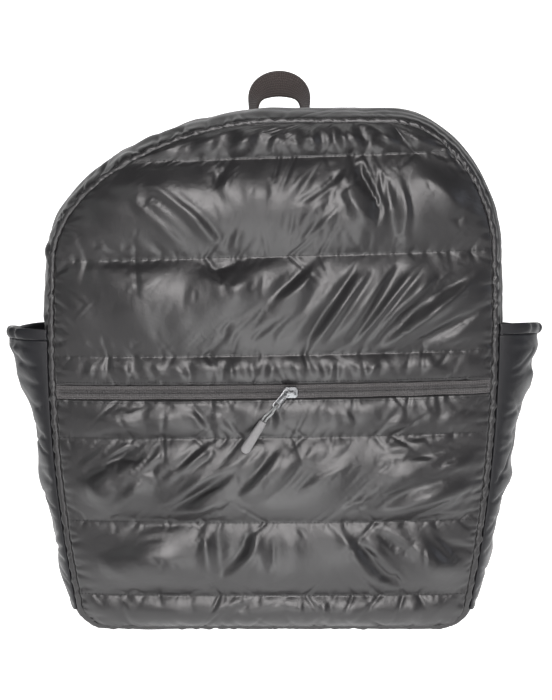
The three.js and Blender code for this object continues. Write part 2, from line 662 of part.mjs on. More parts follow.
function shoulderStrap(word, side) {
  const endY = backClearY(side * STRAP_END_X, STRAP_END_Z, ADJUSTER_WIDTH / 2)
    + ADJUSTER_THICKNESS / 2 + WEBBING_CLEARANCE + WEBBING_THICKNESS;
  const strapPoint = (share) => {
    const x = side * lerp(STRAP_TOP_X, STRAP_END_X, share ** 1.3);
    const z = lerp(STRAP_TOP_Z, STRAP_END_Z, share);
    const seat = backClearY(x, z, STRAP_WIDTH / 2) + GAP + STRAP_EDGE / 2;
    const bowed = lerp(seat, endY, share) + STRAP_STAND_OFF * Math.sin(Math.PI * share) ** 0.8;
    return new THREE.Vector3(x, bowed, z);
  };
  const webbingSeat = (share) => {
    const x = side * lerp(WEBBING_END_X, STRAP_END_X, share);
    const z = lerp(WEBBING_END_Z, STRAP_END_Z, share);
    return new THREE.Vector3(x, backClearY(x, z, WEBBING_WIDTH / 2) + WEBBING_THICKNESS, z);
  };
  const end = strapPoint(1);
  const down = webbingSeat(0).sub(end).normalize();
  const wide = down.clone().cross(BACKWARDS).normalize();
  const out = wide.clone().cross(down);
  const strapRoute = steps(0, 1, STRAP_STEPS / 2).slice(0, -1).map(strapPoint);
  strapRoute.push(end.clone().addScaledVector(down, -STRAP_THICKNESS), end);
  const curve = new THREE.CatmullRomCurve3(strapRoute);
  addPiece("shoulder_strap_" + word, band(curve, STRAP_STEPS, 4,
    (t) => curve.getTangent(t).cross(BACKWARDS),
    (t) => (STRAP_WIDTH / 2) * lerp(1, ADJUSTER_WIDTH / STRAP_WIDTH, t ** 4),
    (t, a) => lerp(STRAP_EDGE, STRAP_THICKNESS, Math.sin(Math.PI * t) ** 0.5 * (1 - a ** 4)) / 2), MESH_CLOTH);

  const local = (along, proud) => end.clone().addScaledVector(down, along).addScaledVector(out, proud);

  const half = ADJUSTER_WIDTH / 2;
  const frame = new THREE.Shape([
    new THREE.Vector2(-half, GAP), new THREE.Vector2(half, GAP),
    new THREE.Vector2(half, ADJUSTER_HEIGHT), new THREE.Vector2(-half, ADJUSTER_HEIGHT),
  ]);
  const slot = half - ADJUSTER_BAR;
  frame.holes.push(new THREE.Path([
    new THREE.Vector2(-slot, ADJUSTER_BAR), new THREE.Vector2(slot, ADJUSTER_BAR),
    new THREE.Vector2(slot, ADJUSTER_HEIGHT - ADJUSTER_BAR),
    new THREE.Vector2(-slot, ADJUSTER_HEIGHT - ADJUSTER_BAR),
  ]));
  const adjuster = new THREE.ExtrudeGeometry(frame, { depth: ADJUSTER_THICKNESS, bevelEnabled: false });
  adjuster.translate(0, 0, -ADJUSTER_THICKNESS / 2);
  adjuster.applyMatrix4(new THREE.Matrix4().makeBasis(wide, down, out).setPosition(end));
  addPiece("strap_adjuster_" + word, adjuster, BUCKLE);

  const bar = ADJUSTER_HEIGHT - ADJUSTER_BAR / 2;
  const turn = ADJUSTER_THICKNESS / 2 + WEBBING_CLEARANCE + WEBBING_THICKNESS / 2;
  const route = [
    webbingSeat(0), webbingSeat(1 / 3), webbingSeat(2 / 3),
    local(bar + 2 * turn, -turn), local(bar, -turn), local(bar - turn * 0.8, -turn * 0.8),
    local(bar - turn * 1.15, 0),
    local(bar - turn * 0.8, turn * 0.8), local(bar, turn), local(bar + 2 * turn, turn),
    local(bar + WEBBING_TAIL, turn + 1),
  ];
  addPiece("strap_webbing_" + word, band(new THREE.CatmullRomCurve3(route, false, "centripetal"), WEBBING_STEPS, 1,
    () => wide.clone(), () => WEBBING_WIDTH / 2, () => WEBBING_THICKNESS / 2), WEBBING);
}

shoulderStrap("left", -1);
shoulderStrap("right", 1);

// Solids that are cut or joined
function solidOf(geometry) {
  const bare = geometry.clone();
  bare.deleteAttribute("normal");
  bare.deleteAttribute("uv");
  const merged = mergeVertices(bare, 1e-4);
  return new wasm.Manifold(new wasm.Mesh({
    numProp: 3,
    vertProperties: new Float32Array(merged.attributes.position.array),
    triVerts: new Uint32Array(merged.index.array),
  }));
}

function geometryOf(solid) {
  const { vertProperties, triVerts } = solid.getMesh();
  const geometry = new THREE.BufferGeometry();
  geometry.setAttribute("position", new THREE.BufferAttribute(vertProperties, 3));
  geometry.setIndex(Array.from(triVerts));
  geometry.computeVertexNormals();
  return geometry;
}

function roundedRectangle(width, height, radius) {
  const [w, h] = [width / 2, height / 2];
  const shape = new THREE.Shape();
  shape.absarc(w - radius, h - radius, radius, 0, Math.PI / 2);
  shape.absarc(-w + radius, h - radius, radius, Math.PI / 2, Math.PI);
  shape.absarc(-w + radius, -h + radius, radius, Math.PI, 1.5 * Math.PI);
  shape.absarc(w - radius, -h + radius, radius, 1.5 * Math.PI, 2 * Math.PI);
  return shape;
}

// Pocket zip slider, drawn with its length along X and its front towards +Z, then stood up
const sliderZ = POCKET_ZIP_HEIGHT + (POCKET_ZIP_RISE * SLIDER_X) / HALF_WIDTH_TOP / 2;
const sliderSeamY = FRONT_SEAM_Y - frontBelly(SLIDER_X / HALF_WIDTH_TOP, POCKET_ZIP_HEIGHT);
const COIL_PROUD = TAPE_BACK + ZIP_TAPE + GAP + COIL_HEIGHT;
const PLATE_BACK = COIL_PROUD + GAP;
const PLATE_FRONT = PLATE_BACK + SLIDER_PLATE;
const BRIDGE_POST_X = -BRIDGE_LENGTH / 2 + BRIDGE_BAR / 2;

function makeSlider() {
  const body = new THREE.ExtrudeGeometry(roundedRectangle(SLIDER_LENGTH, SLIDER_WIDTH, SLIDER_CORNER), {
    depth: SLIDER_PLATE + SLIDER_FLANGE, bevelEnabled: false, curveSegments: 4,
  });
  body.translate(0, 0, PLATE_BACK - SLIDER_FLANGE);
  const channel = new THREE.BoxGeometry(2 * SLIDER_LENGTH, POCKET_COIL_WIDTH + 4 * GAP, 2 * SLIDER_FLANGE);
  channel.translate(0, 0, PLATE_BACK - SLIDER_FLANGE);
  const sunk = SLIDER_PLATE / 2;
  const height = BRIDGE_OPENING + BRIDGE_BAR + sunk;
  const arch = roundedRectangle(BRIDGE_LENGTH, 2 * height, BRIDGE_BAR);
  const bridge = new THREE.ExtrudeGeometry(arch,
    { depth: BRIDGE_WIDTH, bevelEnabled: false, curveSegments: 3 });
  bridge.translate(0, 0, -BRIDGE_WIDTH / 2).rotateX(Math.PI / 2).translate(0, 0, PLATE_FRONT - sunk);
  const opening = new THREE.BoxGeometry(BRIDGE_LENGTH - 2 * BRIDGE_BAR, 2 * BRIDGE_WIDTH, BRIDGE_OPENING);
  opening.translate(0, 0, PLATE_FRONT + BRIDGE_OPENING / 2);
  const below = new THREE.BoxGeometry(2 * BRIDGE_LENGTH, 2 * BRIDGE_WIDTH, 2 * height);
  below.translate(0, 0, PLATE_FRONT - sunk - height);
  const arched = solidOf(bridge).subtract(solidOf(below)).subtract(solidOf(opening));
  return geometryOf(solidOf(body).subtract(solidOf(channel)).add(arched));
}

const slider = addPiece("pocket_zip_slider", makeSlider(), METAL);
slider.rotation.x = Math.PI / 2;
slider.position.set(SLIDER_X, sliderSeamY, sliderZ);

// Most forward depth of the front near a place
function frontClearY(x, height, reach) {
  const near = steps(-reach, reach, 4);
  return Math.min(...near.flatMap((dx) => near.map((dz) => frontSurfaceY(x + dx, height + dz)))) - GAP;
}

const flatWay = (angle) => new THREE.Vector3(Math.cos(angle), 0, Math.sin(angle));

// Directions of a hanging piece: along it, out of the front, and across it
function hangingAxes(from, to) {
  const along = to.clone().sub(from).normalize();
  const across = along.clone().cross(new THREE.Vector3(0, -1, 0)).normalize();
  const out = across.clone().cross(along);
  return { along, out, across };
}

const eye = new THREE.Vector3(
  SLIDER_X + BRIDGE_POST_X,
  sliderSeamY - PLATE_FRONT - BRIDGE_OPENING / 2,
  sliderZ,
);
const tabAim = eye.clone().addScaledVector(flatWay(PULL_ANGLE), TAB_LENGTH);
tabAim.y = Math.min(
  frontClearY(tabAim.x, tabAim.z, TAB_WIDTH / 2) - CORD_DIAMETER - CORD_CLEARANCE - TAB_THICKNESS / 2,
  eye.y,
);
const tabAxes = hangingAxes(eye, tabAim);

// Pull tab: a flat metal link with an eye for the bridge and a hole for the cord, drawn along +X
function makeTab() {
  const end = TAB_EYE_RADIUS + TAB_RIM;
  const tip = TAB_WIDTH / 2;
  const shape = new THREE.Shape();
  shape.absarc(0, 0, end, 0.35 * Math.PI, 1.65 * Math.PI);
  shape.quadraticCurveTo(TAB_LENGTH / 2, -TAB_NECK / 2, TAB_LENGTH - tip, -tip);
  shape.absarc(TAB_LENGTH - tip, 0, tip, -Math.PI / 2, Math.PI / 2);
  shape.quadraticCurveTo(TAB_LENGTH / 2, TAB_NECK / 2,
    end * Math.cos(0.35 * Math.PI), end * Math.sin(0.35 * Math.PI));
  shape.holes.push(new THREE.Path().absarc(0, 0, TAB_EYE_RADIUS, 0, 2 * Math.PI));
  shape.holes.push(new THREE.Path().absarc(TAB_LENGTH - tip, 0, tip - TAB_RIM, 0, 2 * Math.PI));
  const tab = new THREE.ExtrudeGeometry(shape,
    { depth: TAB_THICKNESS, bevelEnabled: false, curveSegments: 8 });
  return tab.translate(0, 0, -TAB_THICKNESS / 2);
}

const tabTurn = new THREE.Matrix4().makeBasis(tabAxes.along,
  tabAxes.out.clone().cross(tabAxes.along), tabAxes.out);
addPiece("pull_tab", makeTab().applyMatrix4(tabTurn.setPosition(eye)), METAL);

// Grip: a moulded tapered bar with a round end, hanging from the cord
const tabEnd = eye.clone().addScaledVector(tabAxes.along, TAB_LENGTH);
const gripTop = tabEnd.clone().addScaledVector(flatWay(PULL_ANGLE), CORD_REACH);
gripTop.y = frontClearY(gripTop.x, gripTop.z, GRIP_WIDTH / 2) - GRIP_THICKNESS / 2;
const gripAim = gripTop.clone().addScaledVector(flatWay(GRIP_ANGLE), GRIP_LENGTH);
gripAim.y = frontClearY(gripAim.x, gripAim.z, GRIP_WIDTH / 2) - GRIP_THICKNESS / 2;
const gripAxes = hangingAxes(gripTop, gripAim);

// A sine or cosine squared up, for a section between an ellipse and a rectangle
const boxy = (wave) => Math.sign(wave) * Math.abs(wave) ** GRIP_SQUARENESS;

function makeGrip() {
  const sides = 12;
  const sections = steps(0, 1, 10);
  const positions = [];
  const faces = [];
  sections.forEach((share) => {
    const tipShare = GRIP_WIDTH / 2 / GRIP_LENGTH;
    const round = Math.sqrt(1 - clamp((share - 1 + tipShare) / tipShare, 0, 0.98) ** 2);
    const halfWidth = (lerp(GRIP_NECK_WIDTH, GRIP_WIDTH, share) / 2) * round;
    const halfThick = (GRIP_THICKNESS / 2) * Math.sqrt(round);
    for (let i = 0; i < sides; i++) {
      const turn = (2 * Math.PI * i) / sides;
      const place = gripTop.clone()
        .addScaledVector(gripAxes.along, share * GRIP_LENGTH)
        .addScaledVector(gripAxes.across, halfWidth * boxy(Math.cos(turn)))
        .addScaledVector(gripAxes.out, halfThick * boxy(Math.sin(turn)));
      positions.push(...place.toArray());
    }
  });
  const last = sides * (sections.length - 1);
  for (let i = 0; i < sides; i++) {
    const j = (i + 1) % sides;
    for (let ring = 0; ring < last; ring += sides) {
      faces.push(ring + i, ring + j, ring + sides + i, ring + j, ring + sides + j, ring + sides + i);
    }
    if (i > 0 && i < sides - 1) faces.push(0, i + 1, i, last, last + i, last + i + 1);
  }
  return closedGeometry(positions, faces);
}

addPiece("pull_grip", makeGrip(), GREY_RUBBER);

// Pull cord: from the grip, over the front of the tab, through its hole and back behind it
const strand = CORD_DIAMETER / 2;
const wrap = TAB_THICKNESS / 2 + CORD_CLEARANCE + strand;
const atTab = (along, out, across) => tabEnd.clone()
  .addScaledVector(tabAxes.along, along)
  .addScaledVector(tabAxes.out, out)
  .addScaledVector(tabAxes.across, across);
const atGrip = (along, across) => gripTop.clone()
  .addScaledVector(gripAxes.along, -along)
  .addScaledVector(gripAxes.across, across);
const CORD_ROUTE = [
  atGrip(GAP, -CORD_SPREAD / 2),
  atGrip(CORD_REACH * 0.25, -CORD_SPREAD / 2),
  atTab(CORD_REACH * 0.35, wrap * 0.7, -CORD_SPREAD / 2.4),
  atTab(CORD_DIAMETER, wrap, -CORD_SPREAD / 5),
  atTab(0, wrap, -CORD_SPREAD / 9),
  atTab(-TAB_RIM - strand / 3, wrap * 0.85, 0),
  atTab(-TAB_RIM - CORD_CLEARANCE - strand, 0, 0),
  atTab(-TAB_RIM - strand / 3, -wrap * 0.85, 0),
  atTab(0, -wrap, CORD_SPREAD / 9),
  atTab(CORD_DIAMETER, -wrap, CORD_SPREAD / 5),
  atTab(CORD_REACH * 0.35, -wrap * 0.7, CORD_SPREAD / 2.4),
  atGrip(CORD_REACH * 0.25, CORD_SPREAD / 2),
  atGrip(GAP, CORD_SPREAD / 2),
];
const cordSection = new THREE.Shape().absarc(0, 0, strand, 0, 2 * Math.PI);
addPiece("pull_cord", new THREE.ExtrudeGeometry(cordSection, {
  steps: CORD_STEPS,
  extrudePath: new THREE.CatmullRomCurve3(CORD_ROUTE, false, "centripetal"),
  bevelEnabled: false,
  curveSegments: 4,
}), GREY_CORD);

// Main zip slider: one plain piece on the coil, at the zip's closed end over the left pocket
const mainSliderShare = LEFT_HIP + (MAIN_SLIDER_LENGTH / 2 + GAP) / OUTLINE_LENGTH;
const mainSliderY = COIL_FRONT + MAIN_ZIP_COIL_WIDTH / 2;
const mainSliderStand = sidePuff(mainSliderShare) * ringBow(mainSliderY) - MAIN_ZIP_SINK + ZIP_TAPE / 2
  + COIL_HEIGHT + 3 * GAP;
const mainSliderPlace = outlineAt(mainSliderShare);
const mainSlider = new THREE.ExtrudeGeometry(
  roundedRectangle(MAIN_SLIDER_LENGTH, MAIN_SLIDER_WIDTH, SLIDER_CORNER),
  { depth: MAIN_SLIDER_THICKNESS, bevelEnabled: false, curveSegments: 3 },
);
const sliderOut = new THREE.Vector3(mainSliderPlace.outX, 0, mainSliderPlace.outZ);
const sliderUp = new THREE.Vector3(-mainSliderPlace.outZ, 0, mainSliderPlace.outX);
mainSlider.applyMatrix4(new THREE.Matrix4()
  .makeBasis(sliderUp, sliderOut.clone().cross(sliderUp), sliderOut)
  .setPosition(...ringPoint(mainSliderShare, mainSliderY, mainSliderStand)));
addPiece("main_zip_slider", mainSlider, METAL);

// The whole stands with the middle of its box over the origin and its base on the floor
const middle = new THREE.Box3().setFromObject(backpack).getCenter(new THREE.Vector3());
backpack.position.set(-middle.x, -middle.y, 0);

export default backpack;
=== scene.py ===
# %% [markdown]
# # A quilted puffer backpack
# The bag is a box of padded nylon, sewn across in rows so that the wadding stays in place. The front is
# crossed by a zipped pocket, an open pocket stands on each side, and the back has the handle and the straps.
# The CAD frame gives every place and size. This file makes the cloth, the stitches and the finishes round it.

# %% Frame
import math

import bpy
import numpy as np
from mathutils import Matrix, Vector


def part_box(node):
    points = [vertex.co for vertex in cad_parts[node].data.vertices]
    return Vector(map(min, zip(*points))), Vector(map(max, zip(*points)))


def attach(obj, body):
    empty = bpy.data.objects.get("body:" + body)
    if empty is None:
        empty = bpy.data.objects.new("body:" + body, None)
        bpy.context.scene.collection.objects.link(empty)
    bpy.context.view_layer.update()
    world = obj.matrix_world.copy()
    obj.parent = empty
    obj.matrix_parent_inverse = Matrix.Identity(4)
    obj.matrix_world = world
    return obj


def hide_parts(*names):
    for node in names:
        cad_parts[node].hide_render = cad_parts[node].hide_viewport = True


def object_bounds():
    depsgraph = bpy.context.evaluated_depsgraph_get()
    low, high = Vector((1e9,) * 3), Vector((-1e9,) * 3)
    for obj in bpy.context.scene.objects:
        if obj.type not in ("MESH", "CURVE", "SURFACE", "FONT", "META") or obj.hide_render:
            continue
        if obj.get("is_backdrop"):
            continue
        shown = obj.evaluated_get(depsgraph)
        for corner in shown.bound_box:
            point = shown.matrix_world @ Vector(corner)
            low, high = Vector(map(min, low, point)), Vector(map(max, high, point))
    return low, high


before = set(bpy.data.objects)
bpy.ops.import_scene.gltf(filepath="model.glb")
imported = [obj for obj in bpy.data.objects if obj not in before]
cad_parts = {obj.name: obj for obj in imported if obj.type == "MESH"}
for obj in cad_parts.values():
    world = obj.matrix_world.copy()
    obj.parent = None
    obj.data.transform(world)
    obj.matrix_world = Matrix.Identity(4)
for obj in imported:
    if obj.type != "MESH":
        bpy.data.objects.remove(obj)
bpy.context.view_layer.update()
MM = 0.001
ROOT = "root"

# %% [markdown]
# ## Camera
# The photograph looks slightly down at the bag from less than a metre, which is why the base looks narrower
# and the top is seen from above. The lens is given for a 36 mm sensor along the picture's long side.

# %% Camera
CAMERA_PLACE = (0.0023, -0.8636, 0.4184)
CAMERA_DOWN = math.radians(12)
CAMERA_LENS = 53.068

camera_data = bpy.data.cameras.new("camera")
camera_data.lens = CAMERA_LENS
camera_data.sensor_width = 36
camera = bpy.data.objects.new("camera", camera_data)
camera.location = CAMERA_PLACE
camera.rotation_euler = (math.radians(90) - CAMERA_DOWN, 0, 0)
bpy.context.scene.collection.objects.link(camera)
bpy.context.scene.camera = camera
print("camera at", CAMERA_PLACE)

# %% [markdown]
# ## From the drawing to the frame
# The shapes below are worked out in millimetres from the middle of the bag's depth, as in the drawing of the
# part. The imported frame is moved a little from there, and the front gusset's box says by how much.

# %% Drawing to frame
BODY_DEPTH = 96
CLOTH = 2
GAP = 0.3
FRONT_SEAM_Y = -BODY_DEPTH / 2
BACK_SEAM_Y = BODY_DEPTH / 2
RING_FRONT = FRONT_SEAM_Y + CLOTH + GAP
RING_BACK = BACK_SEAM_Y - CLOTH - GAP

gusset_low, gusset_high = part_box("front_gusset")
SHIFT = np.array([(gusset_low[0] + gusset_high[0]) / 2 / MM, gusset_low[1] / MM - RING_FRONT, 0])


def to_frame(points):
    """Millimetres of the drawing to metres of the frame."""
    return (np.asarray(points, float) + SHIFT) * MM


def lerp(a, b, share):
    return a + (b - a) * share


def units(vectors):
    """Vectors along the last axis, each brought to length 1."""
    return np.asarray(vectors, float) / np.linalg.norm(vectors, axis=-1, keepdims=True)


print("shift in mm:", SHIFT.round(2))

# %% [markdown]
# ## Materials
# Everything here is dark, so the finishes differ by gloss and by texture more than by colour. Each material
# is a small node tree. One helper makes the tree and hands back what the others need.

# %% Material helper
def new_material(name, colour, roughness):
    """A material with its shader, and a function that adds a node and sets its plain inputs."""
    material = bpy.data.materials.new(name)
    material.use_nodes = True
    tree = material.node_tree
    shader = tree.nodes["Principled BSDF"]
    shader.inputs["Base Color"].default_value = (*colour, 1)
    shader.inputs["Roughness"].default_value = roughness
    material.diffuse_color = (*colour, 1)

    def add(kind, links=(), **values):
        node = tree.nodes.new(kind)
        for key, value in values.items():
            if key in node.inputs:
                node.inputs[key].default_value = value
            else:
                setattr(node, key, value)
        for socket, source in dict(links).items():
            tree.links.new(source, node.inputs[socket])
        return node

    return material, tree, shader, add


def between(tree, add, factor, low, high):
    """A float that runs from low to high as the factor goes from 0 to 1."""
    return add("ShaderNodeMapRange", {"Value": factor}, **{"To Min": low, "To Max": high}).outputs["Result"]


def tinted(tree, add, factor, dark, light):
    """A colour between two tints."""
    mix = add("ShaderNodeMix", data_type="RGBA")
    mix.inputs[6].default_value = (*dark, 1)
    mix.inputs[7].default_value = (*light, 1)
    tree.links.new(factor, mix.inputs[0])
    return mix.outputs[2]


def bumped(add, height, distance, strength, normal=None):
    links = {"Height": height}
    if normal is not None:
        links["Normal"] = normal
    return add("ShaderNodeBump", links, Distance=distance, Strength=strength).outputs["Normal"]


# %% [markdown]
# ### Nylon
# The shell is thin downproof nylon. It is tightly woven and pressed until it shines, so light slides over
# it in patches. Broad noise varies the tint and the gloss, fine noise is the crinkle of thin cloth,
# and the UV map, which is in metres along the cloth, carries the weave.

# %% Nylon
WEAVE_SCALE = 760


def nylon(name, dark, light, gloss, shine=0.62):
    material, tree, shader, add = new_material(name, light, gloss)
    place = add("ShaderNodeTexCoord")
    cloud = add("ShaderNodeTexNoise", {"Vector": place.outputs["Object"]}, Scale=11, Detail=3)
    tree.links.new(tinted(tree, add, cloud.outputs["Fac"], dark, light), shader.inputs["Base Color"])
    worn = add("ShaderNodeTexNoise", {"Vector": place.outputs["Object"]}, Scale=60, Detail=4)
    gloss_spread = between(tree, add, worn.outputs["Fac"], gloss - 0.07, gloss + 0.09)
    tree.links.new(gloss_spread, shader.inputs["Roughness"])
    crinkle = add("ShaderNodeTexNoise", {"Vector": place.outputs["Object"]},
                  Scale=170, Detail=3, Distortion=0.6)
    soft = bumped(add, crinkle.outputs["Fac"], 0.0009, 0.2)
    warp, weft = (add("ShaderNodeTexWave", {"Vector": place.outputs["UV"]}, Scale=WEAVE_SCALE, Distortion=5,
                      wave_type="BANDS", bands_direction=way) for way in "XY")
    weave = add("ShaderNodeMath", {0: warp.outputs["Fac"], 1: weft.outputs["Fac"]}, operation="MULTIPLY")
    tree.links.new(bumped(add, weave.outputs[0], 0.00004, 0.35, soft), shader.inputs["Normal"])
    shader.inputs["Sheen Weight"].default_value = 0.06
    shader.inputs["Sheen Roughness"].default_value = 0.4
    shader.inputs["Specular IOR Level"].default_value = shine
    return material


SHELL = nylon("shell_nylon", (0.0085, 0.0078, 0.0084), (0.0150, 0.0138, 0.0148), 0.36, 0.72)
# The pockets' nylon is painted darker and bluer than the shell: painted shade of the bag's sides, with a
# painted blue cast of the light from the right.
SIDE_SHELL_PAINTED_SHADE = nylon("side_nylon_painted_shade", (0.004, 0.004, 0.005), (0.007, 0.007, 0.010), 0.43, 0.46)
GUSSET_SHELL = nylon("gusset_nylon", (0.0085, 0.0080, 0.0085), (0.0150, 0.0142, 0.0150), 0.44, 0.46)

# %% [markdown]
# ### Tape, webbing and thread
# These are woven from thicker yarn and don't shine. Ribs run along the tape and across the webbing.

# %% Woven trims
BAND_SCALE = 2 * math.pi / 20  # scale of a wave texture that has one band per unit


def woven(name, dark, light, ribs, lines, depth, rough):
    """Yarn in ribs per metre along UV x and lines per metre along UV y."""
    material, tree, shader, add = new_material(name, light, rough)
    place = add("ShaderNodeTexCoord")
    rib, line = (add("ShaderNodeTexWave", {"Vector": place.outputs["UV"]}, Scale=count * BAND_SCALE,
                     wave_type="BANDS", bands_direction=way) for count, way in ((ribs, "X"), (lines, "Y")))
    fuzz = add("ShaderNodeTexNoise", {"Vector": place.outputs["Object"]}, Scale=900, Detail=2)
    cloth = add("ShaderNodeMath", {0: rib.outputs["Fac"], 1: line.outputs["Fac"]}, operation="ADD")
    rough_cloth = add("ShaderNodeMath", {0: cloth.outputs[0], 1: fuzz.outputs["Fac"]}, operation="ADD")
    shade = between(tree, add, rough_cloth.outputs[0], -0.2, 1.1)
    shade.node.inputs["From Max"].default_value = 3
    tree.links.new(tinted(tree, add, shade, dark, light), shader.inputs["Base Color"])
    tree.links.new(bumped(add, rough_cloth.outputs[0], depth, 0.8), shader.inputs["Normal"])
    shader.inputs["Sheen Weight"].default_value = 0.1
    return material


TAPE = woven("zip_tape_weave", (0.040, 0.038, 0.039), (0.115, 0.108, 0.108), 700, 600, 0.0003, 0.7)
WEBBING = woven("handle_weave", (0.030, 0.022, 0.021), (0.085, 0.068, 0.064), 500, 650, 0.0004, 0.8)
STRAP_WEBBING = woven("strap_weave", (0.014, 0.014, 0.015), (0.040, 0.040, 0.041), 500, 500, 0.0004, 0.75)
STRAP_CLOTH = woven("strap_mesh_cloth", (0.010, 0.010, 0.011), (0.030, 0.030, 0.031), 260, 260, 0.0006, 0.85)
THREAD = woven("sewing_thread", (0.014, 0.014, 0.015), (0.036, 0.035, 0.036), 900, 900, 0.0001, 0.55)
CORD_YARN = woven("cord_yarn", (0.36, 0.37, 0.37), (0.56, 0.58, 0.58), 700, 900, 0.0003, 0.7)

# %% [markdown]
# ### Hard trims
# The slider and its tab are die-cast and plated. The grip is moulded soft plastic, and the adjusters are
# moulded hard plastic. Fine noise breaks the gloss, as handling does.

# %% Hard trims
def moulded(name, dark, light, rough, grain, metal=0.0):
    material, tree, shader, add = new_material(name, light, rough)
    place = add("ShaderNodeTexCoord")
    speck = add("ShaderNodeTexNoise", {"Vector": place.outputs["Object"]}, Scale=grain, Detail=4)
    tree.links.new(tinted(tree, add, speck.outputs["Fac"], dark, light), shader.inputs["Base Color"])
    rough_spread = between(tree, add, speck.outputs["Fac"], rough - 0.08, rough + 0.1)
    tree.links.new(rough_spread, shader.inputs["Roughness"])
    tree.links.new(bumped(add, speck.outputs["Fac"], 0.0002, 0.25), shader.inputs["Normal"])
    shader.inputs["Metallic"].default_value = metal
    return material


METAL = moulded("plated_metal", (0.13, 0.135, 0.14), (0.26, 0.265, 0.27), 0.28, 700, 1.0)
GRIP = moulded("soft_grip", (0.165, 0.162, 0.165), (0.225, 0.222, 0.225), 0.5, 400)
BUCKLE = moulded("hard_plastic", (0.010, 0.010, 0.011), (0.020, 0.020, 0.021), 0.4, 500)
COIL = moulded("coil_nylon", (0.040, 0.039, 0.040), (0.090, 0.087, 0.088), 0.45, 600)
print("materials:", len(bpy.data.materials))

# %% [markdown]
# ## Pull cord
# A short doubled cord runs from the grip through the hole of the pull tab and back. The photograph shows
# it from end to end, so its length is what the route measures. It leaves the grip and goes back into it.

# %% Pull cord
CORD_DIAMETER = 1.6
CORD_ROUTE = [
    (-6.498, -66.401, 192.937), (-4.882, -66.261, 195.519), (-1.051, -67.842, 199.667),
    (0.524, -67.566, 202.415), (1.346, -67.175, 203.751), (1.939, -66.6, 204.905),
    (2.269, -65.024, 205.298), (1.497, -63.881, 204.38), (0.384, -63.975, 203.505),
    (-0.791, -64.367, 202.466), (-3.073, -65.603, 200.629), (-7.086, -66.261, 196.899),
    (-8.702, -66.401, 194.316),
]


def smooth_line(points, count):
    """A smooth line through points, with its places evenly spaced."""
    points = np.asarray(points, float)
    tangents = np.gradient(points, axis=0)
    fine = []
    for i in range(len(points) - 1):
        t = np.linspace(0, 1, 16, endpoint=False)[:, None]
        h00, h10 = 2 * t**3 - 3 * t**2 + 1, t**3 - 2 * t**2 + t
        h01, h11 = -2 * t**3 + 3 * t**2, t**3 - t**2
        fine.append(h00 * points[i] + h10 * tangents[i] + h01 * points[i + 1] + h11 * tangents[i + 1])
    fine = np.vstack([*fine, points[-1:]])
    length = np.concatenate([[0], np.cumsum(np.linalg.norm(np.diff(fine, axis=0), axis=1))])
    even = np.linspace(0, length[-1], count)
    return np.stack([np.interp(even, length, values) for values in fine.T], axis=1), length[-1]


def mesh_object(name, points, faces, material, uv=None, smooth=True):
    """A mesh in the scene from drawing millimetres, with a UV map in metres where one is given."""
    mesh = bpy.data.meshes.new(name)
    mesh.from_pydata(to_frame(points).tolist(), [], [tuple(int(i) for i in face) for face in faces])
    mesh.polygons.foreach_set("use_smooth", np.full(len(mesh.polygons), smooth))
    if uv is not None:
        corner = np.empty(len(mesh.loops), int)
        mesh.loops.foreach_get("vertex_index", corner)
        layer = mesh.uv_layers.new(name="cloth")
        layer.data.foreach_set("uv", np.asarray(uv)[corner].ravel())
    mesh.materials.append(material)
    mesh.update()
    made = bpy.data.objects.new(name, mesh)
    bpy.context.scene.collection.objects.link(made)
    return made


cord_line, cord_length = smooth_line(CORD_ROUTE, 61)
cord_curve = bpy.data.curves.new("pull_cord_braid", "CURVE")
cord_curve.dimensions = "3D"
cord_curve.bevel_depth = CORD_DIAMETER / 2 * MM
cord_curve.bevel_resolution = 3
cord_curve.use_fill_caps = True
cord_spline = cord_curve.splines.new("POLY")
cord_spline.points.add(len(cord_line) - 1)
for spline_point, place in zip(cord_spline.points, to_frame(cord_line)):
    spline_point.co = (*place, 1)
cord_curve.materials.append(CORD_YARN)
pull_cord = bpy.data.objects.new("pull_cord_braid", cord_curve)
bpy.context.scene.collection.objects.link(pull_cord)
print("pull cord:", round(cord_length, 1), "mm long")

# %% [markdown]
# ## The outline of the bag
# Every panel is sewn to one closed line: the front seam, seen from the front. The corners of the top are
# uneven: the left one is the wider, as the bag slumps that way. A place on the line is a share of its length,
# counted from the middle of the base, up the left side, over the top and down the right side.

# %% Outline
BODY_HEIGHT = 435.5
HALF_WIDTH_TOP = 171
HALF_WIDTH_MIDDLE = 174
HALF_WIDTH_BASE = 161
SEAM_TOP = BODY_HEIGHT - 11
SEAM_BASE = 8
BASE_CORNER = 22
BASE_CORNER_PULL = BASE_CORNER * (1 - 0.58)
TOP_CORNERS = {-1: (172, 112, 0.66), 1: (80, 104, 0.5)}  # reach, drop and fullness of each side
OUTLINE_POINTS = 1440


def bezier(a, b, c, d, count=80):
    t = np.linspace(0, 1, count)[:, None]
    a, b, c, d = (np.array(p, float) for p in (a, b, c, d))
    return (1 - t) ** 3 * a + 3 * (1 - t) ** 2 * t * b + 3 * (1 - t) * t**2 * c + t**3 * d


